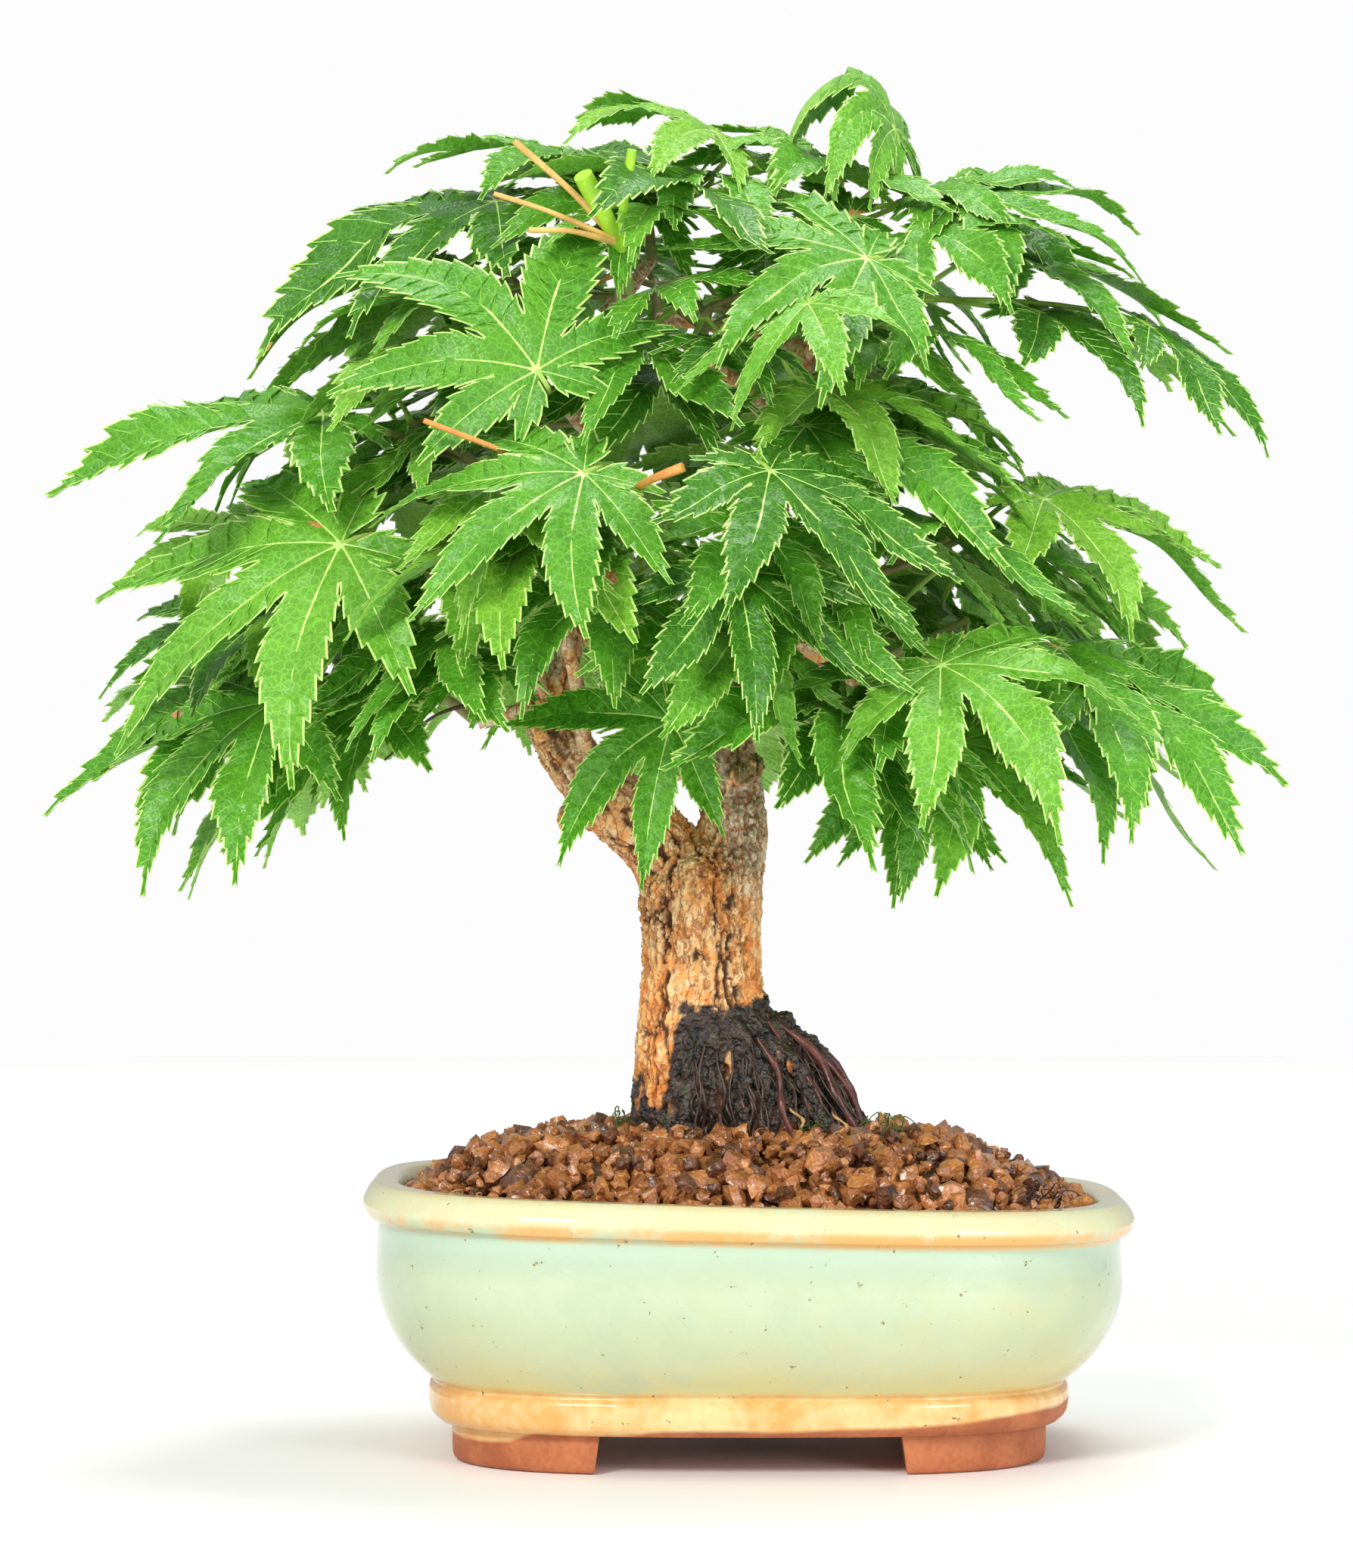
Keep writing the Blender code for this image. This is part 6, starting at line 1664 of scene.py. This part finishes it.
# cut or bare shoots: (points along it, radius at its foot and end, which finish)
CUT_SHOOTS = (
    (((-0.0235, -0.014, 0.226), (-0.0256, -0.04, 0.233), (-0.0315, -0.049, 0.2438)), 0.0014, 0.0018, "green"),
    (((-0.0245, -0.038, 0.231), (-0.024, -0.045, 0.238), (-0.0223, -0.049, 0.2485)), 0.001, 0.0009, "green"),
    (((-0.0258, -0.042, 0.233), (-0.0336, -0.046, 0.241), (-0.0443, -0.05, 0.25)), 0.0007, 0.0006, "tan"),
    (((-0.0258, -0.042, 0.2325), (-0.0376, -0.048, 0.237), (-0.0481, -0.05, 0.2402)), 0.0006, 0.00045, "tan"),
    (((-0.0258, -0.042, 0.232), (-0.0336, -0.048, 0.2334), (-0.0416, -0.05, 0.2334)), 0.0006, 0.0005, "tan"),
    (((-0.0225, -0.06, 0.184), (-0.0184, -0.075, 0.1854), (-0.0128, -0.078, 0.1874)), 0.0007, 0.0009, "orange"),
    (((-0.04, -0.046, 0.1885), (-0.045, -0.058, 0.1911), (-0.0606, -0.062, 0.197)), 0.0006, 0.0005, "orange"),
    (((-0.004, -0.002, 0.148), (-0.008, -0.01, 0.152), (-0.0125, -0.016, 0.156)), 0.003, 0.0024, "dead"),
    (((-0.003, 0.0, 0.14), (0.0015, -0.005, 0.1425), (0.0068, -0.008, 0.144)), 0.0015, 0.0011, "dead"),
    (((-0.05, -0.02, 0.146), (-0.06, -0.03, 0.143), (-0.0694, -0.034, 0.1345)), 0.0005, 0.0002, "dead"),
)


def make_cut_shoots():
    """Shoots that were cut back, each a slightly swollen tube with a flat end."""
    looks = {"green": CUT_GREEN, "tan": STALK_TAN, "orange": STALK_ORANGE, "dead": DEAD_WOOD}
    for look, finish in looks.items():
        parts = []
        for points, start, end, kind in CUT_SHOOTS:
            if kind == look:
                line = curve_through(points, 14)
                radii = np.linspace(start, end, 14) * (1 + 0.07 * np.sin(9.0 * np.linspace(0, 1, 14)))
                parts.append(tube(line, radii, 14))
        add_piece(f"cut_shoots_{look}", *gather(parts), [finish], "bark", sharp=45)


# tufts of fine roots and moss on the grains: (place, how far they spread, how high they stand, how many, finish)
TUFTS = (
    ((-0.053, -0.04), 0.005, 0.003, 9, "pale"), ((-0.06, -0.02), 0.006, 0.0025, 5, "pale"),
    ((0.056, -0.03), 0.006, 0.0035, 16, "dark"), ((0.026, -0.012), 0.005, 0.005, 14, "moss"),
    ((-0.0245, -0.007), 0.003, 0.006, 8, "moss"), ((0.012, -0.014), 0.004, 0.0045, 12, "moss"),
    ((0.02, -0.018), 0.005, 0.003, 6, "pale"), ((-0.01, 0.018), 0.006, 0.004, 8, "moss"),
)
HEAP_FAR = (0.42, 0.87)  # the heap slopes between these shares of the way to the lip


def soil_height(x, y):
    """About how high the heap stands at a place: a quarter sine of its share of the way in from the wall."""
    far = (abs(x / RIM_HALF[0]) ** PLAN_POWER + abs(y / RIM_HALF[1]) ** PLAN_POWER) ** (1 / PLAN_POWER)
    step = float(np.clip((HEAP_FAR[1] - far) / (HEAP_FAR[1] - HEAP_FAR[0]), 0, 1))
    edge = SOIL_EDGE - RIM_DIP * x
    return edge + (SEAT_HEIGHT - edge) * math.sin(step * math.pi / 2)


def make_tufts():
    """Wisps: each a thin tube that rises from the grains, wanders and bends over."""
    rng = random.Random(33)
    looks = {"pale": PALE_ROOT, "dark": DARK_ROOT, "moss": MOSS}
    for look, finish in looks.items():
        parts = []
        for (x, y), spread, height, count, kind in TUFTS:
            for _ in range(count if kind == look else 0):
                turn, reach = rng.uniform(0, 6.3), rng.uniform(0.3, 1.0) * spread
                foot_x, foot_y = x + rng.uniform(-0.5, 0.5) * spread, y + rng.uniform(-0.5, 0.5) * spread
                t = np.linspace(0, 1, 9)
                line = np.stack([foot_x + reach * t * math.cos(turn) + 0.0006 * np.sin(7 * t + turn),
                                 foot_y + reach * t * math.sin(turn) + 0.0006 * np.cos(6 * t + turn),
                                 soil_height(foot_x, foot_y) + rng.uniform(0.4, 1.0) * height
                                 * np.sin(2.4 * t)], axis=1)
                parts.append(tube(line, np.linspace(0.00022, 0.0001, 9), 5))
        add_piece(f"tufts_{look}", *gather(parts), [finish], "grit", sharp=60)


# ---------- stage

ROOM_LIGHT, ROOM_SEEN = 0.55, 0.975  # the white room's brightness as a light and as it is seen
# soft lamps: (name, place, what it aims at, width and height, power, colour)
LAMPS = (
    ("key", (-1.3, -2.7, 2.00), (0, 0, 0.13), (0.9, 0.9), 82.0, (1.0, 0.985, 0.96)),
    ("fill", (1.7, -2.4, 0.9), (0, 0, 0.12), (1.00, 1.5), 38.0, (0.98, 0.99, 1.0)),
    ("top", (0.2, 0.4, 2.9), (0, 0, 0.15), (1.2, 1.2), 42.0, (1.0, 1.0, 1.0)),
)
FLOOR_ROWS = ((1.4, -0.004), (1.4, -0.0002), (0.02, -0.0002))  # (radius, height) of the floor's rings
CAMERA_PLACE = (-0.014, -1.0, 0.13)
LENS, SENSOR = 116.85, 36.0


def add_lamp(name, place, aim, size, power, colour):
    """A flat lamp that faces its aim."""
    lamp = bpy.data.lights.new(name, "AREA")
    lamp.shape, lamp.size, lamp.size_y, lamp.energy, lamp.color = "RECTANGLE", size[0], size[1], power, colour
    thing = bpy.data.objects.new(name, lamp)
    thing.location = MOVE + np.array(place)
    thing.rotation_euler = (Vector(aim) - Vector(place)).to_track_quat("-Z", "Y").to_euler()
    bpy.context.scene.collection.objects.link(thing)


def set_tones():
    """Plain tones, so that a lamp-lit white is white."""
    bpy.context.scene.view_settings.view_transform = "Standard"


def set_stage():
    """A pale round floor, soft lamps on both sides and above, and the camera level with the crown's foot."""
    turn = np.linspace(0, 2 * math.pi, 96, endpoint=False)
    rings = np.stack([np.stack([r * np.cos(turn), r * np.sin(turn), np.full(96, z)], axis=1)
                      for r, z in FLOOR_ROWS])
    points, faces = closed_rings(rings)
    mesh = bpy.data.meshes.new("floor")
    mesh.from_pydata(points + MOVE, [], [tuple(face) for group in faces for face in group.tolist()])
    mesh.materials.append(floor_finish())
    floor = bpy.data.objects.new("floor", mesh)
    bpy.context.scene.collection.objects.link(floor)
    world = bpy.data.worlds.new("studio")
    world.use_nodes = True
    tree = world.node_tree
    seen = tree.nodes.new("ShaderNodeLightPath").outputs["Is Camera Ray"]
    backdrop = tree.nodes["Background"]
    backdrop.inputs["Color"].default_value = (1.0, 1.0, 1.0, 1.0)
    tree.links.new(carried(tree, seen, start=ROOM_LIGHT, end=ROOM_SEEN), backdrop.inputs["Strength"])
    bpy.context.scene.world = world
    for lamp in LAMPS:
        add_lamp(*lamp)
    camera = bpy.data.cameras.new("camera")
    camera.lens, camera.sensor_width = LENS, SENSOR
    thing = bpy.data.objects.new("camera", camera)
    thing.location = MOVE + np.array(CAMERA_PLACE)
    thing.rotation_euler = (math.pi / 2, 0, 0)
    bpy.context.scene.collection.objects.link(thing)
    bpy.context.scene.camera = thing


make_pot()
make_bed()
make_grains()
make_trunk()
make_rootlets()
make_branches()
make_cut_shoots()
make_tufts()
make_crown(grow_tree())
set_stage()
set_tones()
